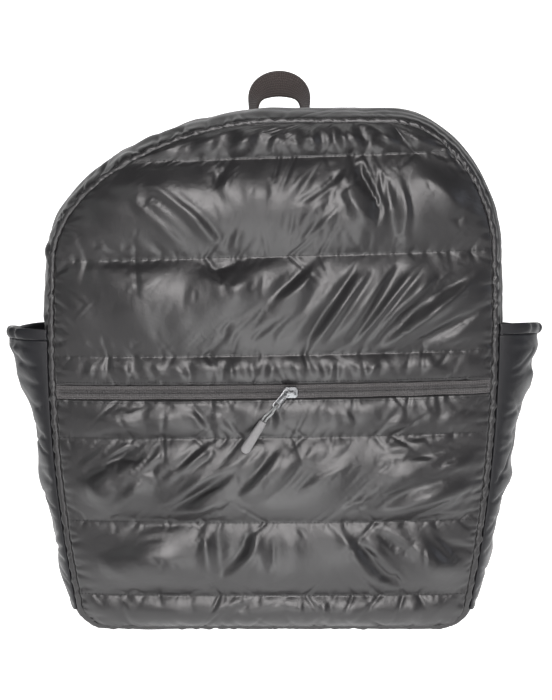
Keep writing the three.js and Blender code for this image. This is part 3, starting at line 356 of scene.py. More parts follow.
def half_outline(side):
    """One side of the outline, from the middle of the base to the top."""
    reach, drop, full = TOP_CORNERS[side]
    base, top = HALF_WIDTH_BASE, HALF_WIDTH_TOP
    foot = SEAM_BASE + BASE_CORNER
    bow = (HALF_WIDTH_MIDDLE - (top + base) / 2) * 4 / 3
    shoulder = SEAM_TOP - drop
    third = (shoulder - foot) / 3
    across = top - reach
    corner = bezier((base - BASE_CORNER, SEAM_BASE), (base - BASE_CORNER_PULL, SEAM_BASE),
                    (base, SEAM_BASE + BASE_CORNER_PULL), (base, foot))
    flank = bezier((base, foot), (lerp(base, top, 1 / 3) + bow, foot + third),
                   (lerp(base, top, 2 / 3) + bow, foot + 2 * third), (top, shoulder))
    arch = bezier((top, shoulder), (top, shoulder + drop * full), (across + reach * (1 - full) if side < 0
                  else across + reach * full, SEAM_TOP), (across, SEAM_TOP))
    line = np.vstack([[(0, SEAM_BASE)], corner, flank[1:], arch[1:]])
    return line * (side, 1)


outline = np.vstack([half_outline(-1), half_outline(1)[::-1]])
outline_steps = np.concatenate([[0], np.cumsum(np.linalg.norm(np.diff(outline, axis=0), axis=1))])
OUTLINE_LENGTH = outline_steps[-1]
outline_shares = np.arange(OUTLINE_POINTS + 1) / OUTLINE_POINTS
outline = np.stack([np.interp(outline_shares * OUTLINE_LENGTH, outline_steps, values)
                    for values in outline.T], axis=1)
outline_way = units(np.roll(outline[:-1], -4, axis=0) - np.roll(outline[:-1], 4, axis=0))
outline_way = np.vstack([outline_way, outline_way[:1]])
HALF = OUTLINE_POINTS // 2


def outline_at(share):
    """Place (x, z) and outward direction (x, z) of the outline."""
    share = np.asarray(share, float) % 1
    x, z, way_x, way_z = (np.interp(share, outline_shares, values)
                          for values in (*outline.T, *outline_way.T))
    return x, z, -way_z, way_x


def share_at(side, height):
    """Share of the outline where a side passes a height."""
    if side < 0:
        return np.interp(height, outline[:HALF, 1], outline_shares[:HALF])
    return np.interp(height, outline[:HALF:-1, 1], outline_shares[:HALF:-1])


def edge_x(side, height):
    return outline_at(share_at(side, np.clip(height, SEAM_BASE + 0.01, SEAM_TOP - 0.01)))[0]


print("outline:", round(float(OUTLINE_LENGTH)), "mm round")

# %% [markdown]
# ## Cloth in grids
# A panel of cloth is a grid of points. A fine outer grid and a coarser one behind it are joined round the
# rim, so that each piece is a closed body. The coarse side saves faces where nobody looks.

# %% Closed grids
def quads(number):
    """The four corners of each cell in a grid of point numbers."""
    corners = number[:-1, :-1], number[:-1, 1:], number[1:, 1:], number[1:, :-1]
    return np.stack(corners, axis=-1).reshape(-1, 4)


def closed_grid(name, outer, inner, material):
    """A closed body from an outer grid and an inner one that keeps every few of its lines."""
    rows, columns = outer.shape[:2]
    in_rows, in_columns = inner.shape[:2]
    skip = (rows - 1) // (in_rows - 1), (columns - 1) // (in_columns - 1)
    out = np.arange(rows * columns).reshape(rows, columns)
    inn = rows * columns + np.arange(in_rows * in_columns).reshape(in_rows, in_columns)

    faces = [tuple(q) for q in quads(out)] + [tuple(q[::-1]) for q in quads(inn)]
    rims = [
        (out[0], inn[0], skip[1]), (out[:, -1], inn[:, -1], skip[0]),
        (out[-1, ::-1], inn[-1, ::-1], skip[1]), (out[::-1, 0], inn[::-1, 0], skip[0]),
    ]
    for fine, coarse, step in rims:
        for i in range(len(coarse) - 1):
            faces.append((*fine[step * i:step * (i + 1) + 1][::-1], coarse[i], coarse[i + 1]))
    points = np.vstack([outer.reshape(-1, 3), inner.reshape(-1, 3)])
    a, b, c, d = (points[quads(out)[:, k]] for k in range(4))
    ia, ib, ic, id_ = (points[quads(inn)[:, k]] for k in range(4))
    volume = (np.cross(b - a, c - a) * a).sum() + (np.cross(c - a, d - a) * a).sum()
    volume -= (np.cross(ib - ia, ic - ia) * ia).sum() + (np.cross(ic - ia, id_ - ia) * ia).sum()
    if volume < 0:
        faces = [face[::-1] for face in faces]
    uv = np.vstack([cloth_map(outer), cloth_map(inner)])
    return mesh_object(name, points, faces, material, uv * MM)


def cloth_map(grid):
    """Place of every point along the cloth, in mm: across in the first value, up in the second."""
    across = np.zeros(grid.shape[:2])
    up = np.zeros(grid.shape[:2])
    across[:, 1:] = np.cumsum(np.linalg.norm(np.diff(grid, axis=1), axis=2), axis=1).mean(axis=0)
    up[1:] = np.cumsum(np.linalg.norm(np.diff(grid, axis=0), axis=2), axis=0).mean(axis=1)[:, None]
    return np.stack([across.ravel(), up.ravel()], axis=1)


def facing(grid):
    """Unit vectors across the grid's surface."""
    wide = np.gradient(grid, axis=1)
    tall = np.gradient(grid, axis=0)
    across = np.cross(wide, tall)
    return across / np.maximum(np.linalg.norm(across, axis=2, keepdims=True), 1e-9)


# %% [markdown]
# ## Gathers and creases
# A line of stitches draws thin cloth together, and the spare cloth stands up in small folds that run away
# from the seam and fade. Between the seams the cloth has longer creases where the bag is pulled askew.
# Both are worked out in millimetres and pushed into the grid before the cloth is simulated.

# %% Gathers and creases
def gathers(along, away, seed, spacing=6.0, depth=0.9, reach=9.0, lean=0.5):
    """Folds that start on a seam: along it and away from it in mm, a value of 0 to about depth."""
    rng = np.random.default_rng(seed)
    total = np.zeros(np.shape(along))
    place, end = along.min() - spacing, along.max() + spacing
    while place < end:
        place += spacing * rng.uniform(0.45, 1.6)
        tilt, width = rng.normal(0, lean), rng.uniform(1.1, 2.4)
        length, sink = reach * rng.uniform(0.4, 2.0), depth * rng.uniform(0.3, 1.15)
        aside = (along - place - tilt * away) / (width * (1 + away / length))
        total += sink * np.exp(-aside**2) * np.exp(-(away / length) ** 2)
    return total


def swell(x, z, seed, wavelength, angle=0.0, spread=0.5, count=9):
    """Broad unevenness of about -1 to 1: a sum of slanting waves."""
    rng = np.random.default_rng(seed)
    total = np.zeros(np.shape(x))
    for _ in range(count):
        turn, size = angle + rng.normal(0, spread), wavelength * rng.uniform(0.7, 1.6)
        total += np.cos(2 * np.pi * (x * np.cos(turn) + z * np.sin(turn)) / size + rng.uniform(0, 7))
    return total / math.sqrt(count)


def crease(x, z, route, width, depth):
    """A fold along a route of (x, z) places. It deepens to its middle and fades to both ends."""
    route = np.asarray(route, float)
    legs = np.linalg.norm(np.diff(route, axis=0), axis=1)
    starts = np.concatenate([[0], np.cumsum(legs)])
    best = np.full(np.shape(x), 1e9)
    share = np.zeros(np.shape(x))
    for k, leg in enumerate(legs):
        way = (route[k + 1] - route[k]) / leg
        t = np.clip((x - route[k, 0]) * way[0] + (z - route[k, 1]) * way[1], 0, leg)
        far = np.hypot(x - route[k, 0] - t * way[0], z - route[k, 1] - t * way[1])
        near = far < best
        best = np.where(near, far, best)
        share = np.where(near, (starts[k] + t) / starts[-1], share)
    fade = np.sin(np.pi * np.clip(share, 0.03, 0.97)) ** 0.6
    return depth * fade * np.exp(-(best / (width * (0.35 + 0.65 * fade))) ** 1.6)


def fold(x, z, route, width, slope):
    """A long facet: cloth that leans along a route and levels out beside it. Plus leans up and outwards."""
    route = smooth_line(route, 9)[0]
    ways = np.diff(route, axis=0)
    legs = np.linalg.norm(ways, axis=1)
    ways /= legs[:, None]
    starts = np.concatenate([[0], np.cumsum(legs)])
    across = np.stack([-ways[:, 1], ways[:, 0]], axis=1)
    outwards = np.array([np.clip(route[:, 0].mean() / 60, -1, 1) * 0.8, 1.0])
    if across.mean(axis=0) @ outwards < 0:
        across = -across
    best = np.full(np.shape(x), 1e9)
    share, over = np.zeros(np.shape(x)), np.zeros(np.shape(x))
    for k, leg in enumerate(legs):
        off_x, off_z = x - route[k, 0], z - route[k, 1]
        t = np.clip(off_x * ways[k, 0] + off_z * ways[k, 1], 0, leg)
        far = np.hypot(off_x - t * ways[k, 0], off_z - t * ways[k, 1])
        near = far < best
        best = np.where(near, far, best)
        over = np.where(near, off_x * across[k, 0] + off_z * across[k, 1], over)
        share = np.where(near, (starts[k] + t) / starts[-1], share)
    fade = np.sin(np.pi * np.clip(share, 0.01, 0.99)) ** 0.75
    return slope * fade * over * np.exp(-(best / width) ** 2)


print("gathers, swell, crease and fold are ready")

# %% [markdown]
# ## Front panels
# The front is two panels, under and over the pocket zip. Each is sewn across in rows, and the wadding puffs
# out the cloth between them. The folds' places are typed one by one as columns and rows of
# the photograph, and one helper carries such a place to the front of the bag.

# %% Front places
PHOTO_WIDTH, PHOTO_HEIGHT = 552, 700
PHOTO_FOCAL = PHOTO_HEIGHT * CAMERA_LENS / 36
FRONT_MIDDLE_Y = FRONT_SEAM_Y - 17


def front_place(column, row):
    """Place (x, z) in mm on the front of the bag under a pixel of the photograph."""
    camera_mm = np.array(CAMERA_PLACE) / MM - SHIFT
    away = FRONT_MIDDLE_Y - camera_mm[1]
    angle = CAMERA_DOWN + np.arctan((np.asarray(row, float) - PHOTO_HEIGHT / 2) / PHOTO_FOCAL)
    z = camera_mm[2] - away * np.tan(angle)
    depth = away * math.cos(CAMERA_DOWN) + (camera_mm[2] - z) * math.sin(CAMERA_DOWN)
    return camera_mm[0] + (np.asarray(column, float) - PHOTO_WIDTH / 2) * depth / PHOTO_FOCAL, z


POCKET_ZIP_HEIGHT = 215
POCKET_ZIP_WIDTH = 11.5
POCKET_ZIP_RISE = 5
LOWER_SEAMS = [  # height in the middle, rise from left to right, puff above, rows of cloth above
    (SEAM_BASE, 0, 6, 22), (38, 0, 8, 48), (104, 1, 9, 50), (177, 5, 4.5, 24),
    (POCKET_ZIP_HEIGHT - POCKET_ZIP_WIDTH / 2, POCKET_ZIP_RISE, 0, 0),
]
UPPER_SEAMS = [
    (POCKET_ZIP_HEIGHT + POCKET_ZIP_WIDTH / 2, POCKET_ZIP_RISE, 4.5, 18), (245, 6, 9, 54), (323, 9, 9.5, 52),
    (399, 8, 5.5, 20), (SEAM_TOP, 0, 0, 0),
]
FRONT_COLUMNS = 240
COARSE = 8
FRONT_BELLY = 9
PUFF_ROUNDNESS = 0.95


def puffed(share):
    return np.sin(np.pi * np.clip(share, 0, 1)) ** PUFF_ROUNDNESS


def front_belly(u, height):
    up = np.clip((height - SEAM_BASE) / (SEAM_TOP - SEAM_BASE), 0, 1)
    return FRONT_BELLY * np.clip(1 - u * u, 0, 1) ** 0.7 * np.sin(np.pi * up) ** 0.6


def front_grid(seams):
    """Grid of a front panel: x, height, puff and belly at every point, and the numbers of its seam rows."""
    heights, rises, puffs, seam_rows = [], [], [], [0]
    for (low, low_rise, puff, rows), (high, high_rise, _, _) in zip(seams, seams[1:]):
        share = np.arange(rows) / rows
        heights.append(lerp(low, high, share))
        rises.append(lerp(low_rise, high_rise, share))
        puffs.append(puff * puffed(share))
        seam_rows.append(seam_rows[-1] + rows)
    u = np.linspace(-1, 1, FRONT_COLUMNS + 1)[None, :]
    height = np.concatenate([*heights, [seams[-1][0]]])[:, None]
    rise = np.concatenate([*rises, [seams[-1][1]]])[:, None]
    puff = np.concatenate([*puffs, [0]])[:, None]
    height = height + rise * u / 2
    x = lerp(edge_x(-1, height), edge_x(1, height), (u + 1) / 2)
    return u + 0 * height, x, height, puff * (1 - np.abs(u) ** 6), front_belly(u, height), seam_rows


# %% Folds of the front
FOLD_WIDTH, FOLD_SLOPE = 1.1, 1.25  # for all folds together
# Places in the photograph, half width in mm and slope: plus turns up and outwards, minus the other way.
FOLDS = [
    ([(72, 186), (110, 176), (160, 176), (222, 181)], 9, 0.7), ([(212, 164), (222, 177), (212, 192)], 5, 0.6),
    ([(140, 186), (175, 208), (214, 250)], 5, -0.45), ([(126, 192), (160, 221), (196, 254)], 4, 0.35),
    ([(156, 186), (196, 214), (228, 252)], 4, 0.4), ([(225, 215), (262, 205), (300, 215)], 16, -0.3),
    ([(226, 256), (238, 226)], 4, 0.5), ([(358, 160), (335, 182), (310, 200), (290, 208)], 3, 0.6),
    ([(350, 156), (315, 170), (287, 200)], 3.5, -0.4), ([(359, 156), (356, 184), (384, 218)], 9, 0.85),
    ([(346, 192), (362, 210), (380, 222)], 5, 0.4), ([(335, 200), (312, 216), (296, 236)], 4, -0.4),
    ([(340, 206), (318, 226), (300, 250)], 3, 0.45), ([(372, 226), (372, 254)], 9, 0.3),
    ([(391, 176), (399, 205), (397, 250)], 6, -0.5), ([(403, 180), (411, 210), (407, 250)], 3, 0.4),
    ([(420, 160), (450, 178), (478, 202)], 13, 0.6), ([(462, 208), (478, 228), (480, 250)], 10, -0.4),
    ([(54, 258), (66, 243)], 4, 0.7), ([(86, 259), (102, 246)], 4.5, 0.7),
    ([(118, 260), (132, 246)], 4.5, 0.7), ([(148, 247), (164, 260)], 4, 0.6),
    ([(186, 261), (178, 250)], 3, 0.5), ([(52, 267), (110, 268), (184, 268)], 5, 0.8),
    ([(184, 266), (220, 280), (258, 267)], 9, 0.7), ([(60, 290), (130, 292), (190, 302)], 8, -0.3),
    ([(160, 345), (220, 315), (298, 282)], 12, -0.45), ([(233, 316), (224, 346)], 4, 0.35),
    ([(318, 260), (298, 282), (266, 306)], 5, 0.9), ([(330, 268), (300, 305), (262, 336)], 7, -0.4),
    ([(302, 302), (275, 325), (246, 346)], 4, 0.6), ([(366, 268), (335, 308), (302, 354)], 6, 1.0),
    ([(380, 272), (352, 310), (323, 351)], 4, -0.5), ([(404, 258), (378, 296), (344, 346)], 4.5, 0.8),
    ([(430, 262), (396, 300), (356, 351)], 3, 0.6), ([(418, 262), (388, 300), (351, 346)], 3, -0.35),
    ([(472, 278), (428, 310), (372, 354)], 7, 1.0), ([(452, 272), (410, 305), (370, 340)], 4, -0.4),
    ([(498, 262), (470, 282), (446, 300)], 4, 0.6), ([(500, 322), (460, 334), (415, 354)], 8, 0.8),
    ([(495, 305), (455, 322), (410, 345)], 4, -0.35), ([(55, 296), (66, 328), (75, 352)], 8, 0.4),
    ([(58, 288), (86, 306)], 2.5, -0.4), ([(74, 322), (96, 300)], 2.5, -0.4),
    ([(72, 354), (84, 341)], 4, 0.6), ([(95, 356), (108, 342)], 4, 0.6), ([(128, 356), (141, 344)], 4, 0.6),
    ([(160, 356), (170, 346)], 3.5, 0.5), ([(88, 362), (80, 384)], 4, 0.6),
    ([(124, 362), (136, 384)], 5, -0.5), ([(150, 364), (160, 384)], 4, 0.5),
    ([(175, 362), (190, 381)], 5, -0.4), ([(228, 362), (226, 384)], 4.5, 0.7),
    ([(246, 362), (252, 383)], 4, -0.5), ([(270, 364), (266, 384)], 4, 0.5),
    ([(290, 362), (298, 384)], 4, -0.4), ([(317, 362), (326, 381)], 3.5, 0.5),
    ([(336, 362), (334, 384)], 3, 0.5), ([(352, 364), (360, 382)], 4, -0.4),
    ([(382, 362), (372, 382)], 4, 0.5), ([(430, 360), (455, 378)], 6, 0.4),
    ([(150, 157), (164, 128)], 5, 0.9), ([(168, 157), (181, 124)], 4.5, -0.85),
    ([(190, 158), (205, 120)], 5, 0.9), ([(209, 158), (224, 118)], 4.5, -0.85),
    ([(230, 158), (240, 120)], 5, 0.9), ([(248, 158), (258, 120)], 5, -0.85),
    ([(268, 158), (276, 120)], 4, 0.8), ([(296, 120), (303, 157)], 4, -0.7),
    ([(312, 120), (322, 157)], 5, 0.9), ([(334, 120), (345, 155)], 4.5, -0.85),
    ([(352, 118), (366, 154)], 4.5, 0.9), ([(366, 118), (386, 153)], 5, -0.9),
    ([(385, 120), (404, 152)], 5, 0.9), ([(402, 122), (424, 152)], 5, -0.7),
    ([(424, 128), (448, 152)], 6, 0.8), ([(84, 421), (115, 418), (147, 425)], 9, 0.7),
    ([(104, 406), (180, 408), (246, 410)], 5, -0.5), ([(184, 411), (198, 418), (206, 433)], 4, 0.6),
    ([(226, 414), (228, 435)], 9, -0.25), ([(270, 404), (276, 420), (272, 435)], 4.5, 0.6),
    ([(318, 408), (330, 420), (322, 434)], 6, -0.3), ([(346, 411), (357, 426)], 3, 0.5),
    ([(378, 426), (400, 422), (418, 429)], 7, 0.6), ([(421, 404), (431, 426)], 4, -0.5),
    ([(438, 422), (465, 418), (490, 421)], 8, 0.7), ([(82, 486), (112, 480), (150, 466)], 14, 0.6),
    ([(98, 469), (118, 458), (134, 447)], 3.5, -0.8), ([(119, 493), (142, 474), (164, 457)], 4.5, -0.9),
    ([(164, 486), (186, 470), (211, 457)], 3.5, -0.6), ([(155, 517), (204, 485), (252, 461)], 5, -0.9),
    ([(169, 516), (200, 502), (240, 492)], 8, 0.8), ([(152, 460), (128, 489), (110, 513)], 5, 0.6),
    ([(211, 445), (194, 458), (176, 476)], 4, 0.6), ([(282, 445), (264, 472), (236, 493)], 5, 0.7),
    ([(240, 509), (284, 481), (302, 455)], 8, -0.4), ([(272, 485), (320, 458), (372, 446)], 8, -0.35),
    ([(290, 492), (330, 472), (362, 462)], 3, 0.35),
    ([(345, 510), (385, 478), (440, 462), (492, 462)], 9, 0.8),
    ([(370, 516), (430, 490), (492, 484)], 13, 0.9), ([(378, 486), (430, 472), (490, 448)], 12, 0.5),
    ([(72, 500), (96, 470), (112, 448)], 11, 0.45), ([(337, 516), (352, 510), (371, 501)], 3, -0.6),
    ([(428, 470), (456, 468)], 2, -0.5), ([(92, 562), (150, 548), (204, 553)], 17, 0.65),
    ([(90, 545), (140, 530), (200, 532)], 9, 0.5), ([(211, 529), (213, 560), (216, 588)], 7, -0.6),
    ([(222, 582), (248, 552), (253, 529)], 5, 0.8), ([(268, 530), (266, 592)], 10, -0.3),
    ([(288, 527), (308, 543)], 3, 0.5), ([(340, 527), (360, 555), (382, 582), (422, 597)], 6, 0.9),
    ([(356, 547), (388, 563)], 3, -0.5), ([(363, 527), (398, 543), (424, 564)], 5, -0.7),
    ([(420, 540), (450, 562), (482, 580)], 13, 0.7), ([(426, 551), (427, 573)], 1.8, -0.6),
    ([(209, 626), (234, 612), (264, 602)], 5, -0.5), ([(326, 601), (330, 631)], 3.5, 0.6),
    ([(302, 603), (304, 627)], 2.5, 0.5), ([(120, 606), (126, 630)], 5, 0.3),
    ([(418, 602), (424, 634)], 6, 0.4),
]


def front_folds(x, height):
    """How far the folds push the cloth back, in mm."""
    total = 1.2 * swell(x, height, 21, 70, 0.9, 0.8) + 0.35 * swell(x, height, 23, 26, 0.75, 0.5)
    for route, width, slope in FOLDS:
        places = np.stack(front_place(*np.array(route, float).T), axis=1)
        total += fold(x, height, places, FOLD_WIDTH * width, FOLD_SLOPE * slope)
    return total


print("folds:", len(FOLDS))

# %% [markdown]
# The cloth is then simulated. The stitched rows and the rim are pinned. Between them the pattern is cut
# a little larger than the space it fills, and askew, so the cloth has to buckle, as it does over wadding.
# The simulation runs at a scale where one unit is 100 mm, because cloth springs behave best at that size.

# %% Cloth simulation
SIM_SCALE = 0.01
SIM_FRAMES = 20
SIM_PRESSURE, SIM_CAP = 3.0, 7
PATTERN_WIDE, PATTERN_TALL = 1.14, 1.06


def settle(grid, pattern, pinned, stiff=60.0, bend=0.6):
    """How far each point moves as the cloth finds its shape, at most SIM_CAP, in mm."""
    rows, columns = grid.shape[:2]
    number = np.arange(rows * columns).reshape(rows, columns)
    mesh = bpy.data.meshes.new("cloth_at_work")
    mesh.from_pydata((grid.reshape(-1, 3) * SIM_SCALE).tolist(), [], quads(number).tolist())
    cloth = bpy.data.objects.new("cloth_at_work", mesh)
    bpy.context.scene.collection.objects.link(cloth)
    cloth.shape_key_add(name="as sewn")
    cut = cloth.shape_key_add(name="as cut")
    cut.data.foreach_set("co", (pattern.reshape(-1, 3) * SIM_SCALE).ravel())
    pins = cloth.vertex_groups.new(name="stitches")
    pins.add(number[pinned].ravel().tolist(), 1.0, "REPLACE")
    work = cloth.modifiers.new("cloth", "CLOTH")
    settings = work.settings
    settings.quality = 6
    settings.mass = 0.02
    settings.air_damping = 2
    settings.tension_stiffness = settings.compression_stiffness = stiff
    settings.shear_stiffness = stiff / 3
    settings.bending_stiffness = bend
    settings.vertex_group_mass = "stitches"
    settings.pin_stiffness = 50
    settings.tension_damping = settings.compression_damping = settings.shear_damping = 0.1
    settings.bending_damping = 0.02
    settings.rest_shape_key = cut
    settings.use_pressure = True
    settings.uniform_pressure_force = SIM_PRESSURE
    settings.effector_weights.gravity = 0
    work.collision_settings.use_collision = False
    work.point_cache.frame_start = 1
    work.point_cache.frame_end = SIM_FRAMES
    scene = bpy.context.scene
    for step in range(1, SIM_FRAMES + 1):
        scene.frame_set(step)
    shaped = cloth.evaluated_get(bpy.context.evaluated_depsgraph_get())
    moved = np.empty(rows * columns * 3)
    shaped.data.vertices.foreach_get("co", moved)
    moved = moved.reshape(rows, columns, 3) / SIM_SCALE - grid
    scene.frame_set(1)
    bpy.data.objects.remove(cloth)
    far = np.linalg.norm(moved, axis=2, keepdims=True)
    print("cloth moved", far.mean().round(2), "mm on average, at most", far.max().round(1))
    return moved * np.minimum(1, SIM_CAP / np.maximum(far, 1e-6))


def finer(moves):
    """Moves of every second point, spread smoothly to all of them."""
    for axis in (0, 1):
        moves = np.moveaxis(moves, axis, 0)
        wide = np.pad(moves, ((1, 1), (0, 0), (0, 0)), mode="edge")
        middle = (9 * (wide[1:-2] + wide[2:-1]) - wide[:-3] - wide[3:]) / 16
        dense = np.empty((2 * len(moves) - 1, *moves.shape[1:]))
        dense[::2], dense[1::2] = moves, middle
        moves = np.moveaxis(dense, 0, axis)
    return moves


# %% Front panels
FRONT_SKEWS = {38: 0.25, 104: -0.35, 245: -0.5, 323: -0.3}  # of the pattern, over the seam at a height


def front_panel(name, seams, seed):
    u, x, height, puff, belly, seam_rows = front_grid(seams)
    plain = FRONT_SEAM_Y - belly - puff
    share = puff / max(puff.max(), 1)
    depth = plain + front_folds(x, height) * np.clip(share * 1.6, 0, 1)
    for k, row in enumerate(seam_rows):
        away = np.abs(height - height[row])
        depth += gathers(x, away, seed + k, 4.5, 0.55, 4, 0.4)
        depth += gathers(x, away, seed + 50 + k, 17, 1.1, 13, 0.7)
    rim = (1 - np.abs(u)) * (edge_x(1, height) - edge_x(-1, height)) / 2
    for side in (-1, 1):
        depth += np.where(u * side > 0, gathers(height, rim, seed + 20 + side, 7, 1.3, 10, 0.25), 0)
    grid = np.stack([x, depth, height], axis=2)
    middle = np.stack([0 * plain, plain, height], axis=2)[:, FRONT_COLUMNS // 2]
    arc = np.concatenate([[0], np.cumsum(np.linalg.norm(np.diff(middle, axis=0), axis=1))])
    skew = np.zeros(len(arc))
    for k, (low, *_rest) in enumerate(seams[:-1]):
        a, b = seam_rows[k], seam_rows[k + 1]
        skew[a:b + 1] = FRONT_SKEWS.get(low, 0) * (arc[a:b + 1] - arc[a])
    up = (arc * PATTERN_TALL)[:, None] + 0 * x
    pattern = np.stack([x * PATTERN_WIDE + skew[:, None], 0 * x, up], axis=2)
    pinned = np.zeros(x.shape, bool)
    pinned[seam_rows] = pinned[:, [0, -1]] = True
    moved = settle(grid[::2, ::2], pattern[::2, ::2], pinned[::2, ::2])
    grid = grid + finer(moved)
    back = np.stack([x, FRONT_SEAM_Y - belly + CLOTH, height], axis=2)[::COARSE, ::COARSE]
    panel = closed_grid(name, grid, back, SHELL)
    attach(panel, ROOT)
    return panel, grid, seam_rows


lower_panel, lower_cloth, lower_rows = front_panel("front_quilting_lower", LOWER_SEAMS, 100)
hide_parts("front_panel_lower")
upper_panel, upper_cloth, upper_rows = front_panel("front_quilting_upper", UPPER_SEAMS, 200)
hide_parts("front_panel_upper")
print("front panels:", len(lower_panel.data.polygons) + len(upper_panel.data.polygons), "faces")

# %% [markdown]
# ## Gussets, side panels and base
# One ring of cloth runs between the front seam and the back seam. Its strips are named for their place:
# two gussets over the top with the main zip between them, a side panel under each pocket, and the base.
# They are drawn in the same way: a place along the outline, a depth, and how far the cloth stands out there.

# %% Ring of cloth
GUSSET_PUFF = 13
BASE_PUFF = 8
TOP_PUFF = 11
POCKET_TOP = 244
POCKET_BASE = 24
HEM_HEIGHT = 9
HEM_THICKNESS = 3.6
SIDE_PANEL_OVER_HEM = 4
SIDE_PANEL_TOP = POCKET_TOP + HEM_HEIGHT + SIDE_PANEL_OVER_HEM
SIDE_PANEL_FOOT = 18
LEFT_HIP, RIGHT_HIP = share_at(-1, SIDE_PANEL_TOP), share_at(1, SIDE_PANEL_TOP)
LEFT_FOOT, RIGHT_FOOT = share_at(-1, SIDE_PANEL_FOOT), share_at(1, SIDE_PANEL_FOOT)
GAP_SHARE = GAP / OUTLINE_LENGTH / 2


def ring_points(share, y, stand):
    """Points of the ring at shares of the outline and depths, standing out from the seam line."""
    x, z, out_x, out_z = outline_at(share)
    return np.stack([x + out_x * stand, y + 0 * x, np.maximum(z + out_z * stand, 0.05)], axis=-1)


def side_puff(share):
    out_z = outline_at(share)[3]
    return lerp(GUSSET_PUFF, np.where(out_z < 0, BASE_PUFF, TOP_PUFF), np.abs(out_z))


def ring_bow(y):
    return np.sin(np.pi * np.clip((y - RING_FRONT) / (RING_BACK - RING_FRONT), 0, 1)) ** 0.35


def strip_stand(share, y, from_y, to_y, billow):
    local = puffed((y - from_y) / (to_y - from_y))
    return side_puff(share) * ring_bow(y) * (1 - billow + billow * local)


def ring_strip(name, shares, ys, stand, relief, thickness, material, node, skip=4):
    """A strip of the ring. relief is how far its outer face is raised, from the share and the depth."""
    share, y = np.meshgrid(shares, ys)
    place = stand(share, y)
    lift = relief(share, y)
    ahead = np.exp(-(y - RING_FRONT) / 8)
    outer = ring_points(share, y - lift * ahead, place + thickness / 2 + lift * (1 - 0.5 * ahead))
    inner = ring_points(share, y, place - thickness / 2)[::skip, ::skip]
    strip = closed_grid(name, outer, inner, material)
    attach(strip, ROOT)
    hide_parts(node)
    return outer


def gusset_relief(from_y, to_y, seed):
    """Gathers from both edges, many on the left arch, and long lines beside the seam on the right."""
    def relief(share, y):
        along = share * OUTLINE_LENGTH
        leftness = np.clip((0.52 - share) * 9, 0, 1)
        edge = np.clip(np.minimum(y - from_y, to_y - y) / 2.5, 0, 1)
        folds = gathers(along, y - from_y, seed, 8, 2.4, 13, 0.8)
        folds += gathers(along, to_y - y, seed + 1, 8, 1.0, 9, 0.7)
        lines = 0.55 * np.sin((y - from_y) * 0.75) * np.clip((share - 0.5) * 8, 0, 1)
        rough = swell(along, y * 2.0, seed + 2, 34, 0.2, 0.8)
        return edge * (0.8 * rough * (0.35 + 0.65 * leftness) + lines) - folds * (0.3 + 0.7 * leftness)
    return relief


ZIP_FRONT, ZIP_BACK = 2, 24
arch = np.linspace(LEFT_HIP + GAP_SHARE, RIGHT_HIP - GAP_SHARE, 641)
GUSSETS = [("front_gusset_cloth", "front_gusset", RING_FRONT, ZIP_FRONT - GAP, 48),
           ("back_gusset_cloth", "back_gusset", ZIP_BACK + GAP, RING_BACK, 24)]
for number, (name, node, from_y, to_y, across) in enumerate(GUSSETS):
    ring_strip(name, arch, np.linspace(from_y, to_y, across + 1),
               lambda share, y, a=from_y, b=to_y: strip_stand(share, y, a, b, 0.35),
               gusset_relief(from_y, to_y, 300 + 10 * number), 3, GUSSET_SHELL, node)


def whole_stand(share, y):
    return side_puff(share) * ring_bow(y)


def base_relief(share, y):
    """Slack and gathers on the corners, and a scalloped edge where the bag stands."""
    along = share * OUTLINE_LENGTH
    front, back = y - RING_FRONT, RING_BACK - y
    edge = np.clip(np.minimum(front, back) / 3, 0, 1)
    folds = gathers(along, front, 360, 8, 1.0, 8) + gathers(along, back, 361, 8, 1.0, 8)
    slack = 0.5 * (edge * 0.7 * swell(along, y, 362, 40) - folds)
    scallops = 0.9 * (1 + swell(along, y, 365, 60, 0, 0.3)).clip(0, 3)
    return np.where(outline_at(share)[3] < -0.9, -scallops, slack)


side_ys = np.linspace(RING_FRONT, RING_BACK, 61)
for word, low, high, seed in (("left", LEFT_FOOT + GAP_SHARE, LEFT_HIP - GAP_SHARE, 340),
                              ("right", RIGHT_HIP + GAP_SHARE, RIGHT_FOOT - GAP_SHARE, 350)):
    ring_strip(f"side_cloth_{word}", np.linspace(low, high, 161), side_ys, whole_stand,
               lambda share, y: 0 * share, 4, GUSSET_SHELL, f"side_panel_{word}")
ring_strip("base_cloth", np.linspace(RIGHT_FOOT + GAP_SHARE, 1 + LEFT_FOOT - GAP_SHARE, 225), side_ys,
           whole_stand, base_relief, 4, SHELL, "base_panel")
print("ring of cloth: 5 strips")

# %% [markdown]
# ## Side pockets
# Each side pocket is a curved wall of padded cloth that leans out to its mouth, with two seams across and an
# elastic hem. The cloth is gathered into its side seams, so folds fan in from both of them. In the
# photograph the right pocket leans out more evenly than the left one, and its mouth is drawn up further.

# %% Side pockets
POCKET_INSET = 0.6
POCKET_FRONT, POCKET_BACK = RING_FRONT + POCKET_INSET, RING_BACK - POCKET_INSET
POCKET_SEAMS = [POCKET_BASE, 98, 176, POCKET_TOP]
POCKET_ROWS = [48, 52, 44]
POCKET_REACH, POCKET_FLARE, POCKET_PUFF, POCKET_ROUNDNESS = 29, 8, 2.5, 2.4
POCKET_LEAN = {-1: 0.45, 1: 0.7}
POCKET_LIP = {-1: 10, 1: 15}


def pocket_reach(side, y, height):
    up = np.clip((height - POCKET_BASE) / (POCKET_TOP - POCKET_BASE), 0, 1)
    across = 2 * (y - POCKET_FRONT) / (POCKET_BACK - POCKET_FRONT) - 1
    around = np.clip(1 - np.abs(across) ** POCKET_ROUNDNESS, 0, 1) ** (1 / POCKET_ROUNDNESS)
    return POCKET_REACH * around * lerp(up**POCKET_FLARE, up, POCKET_LEAN[side])


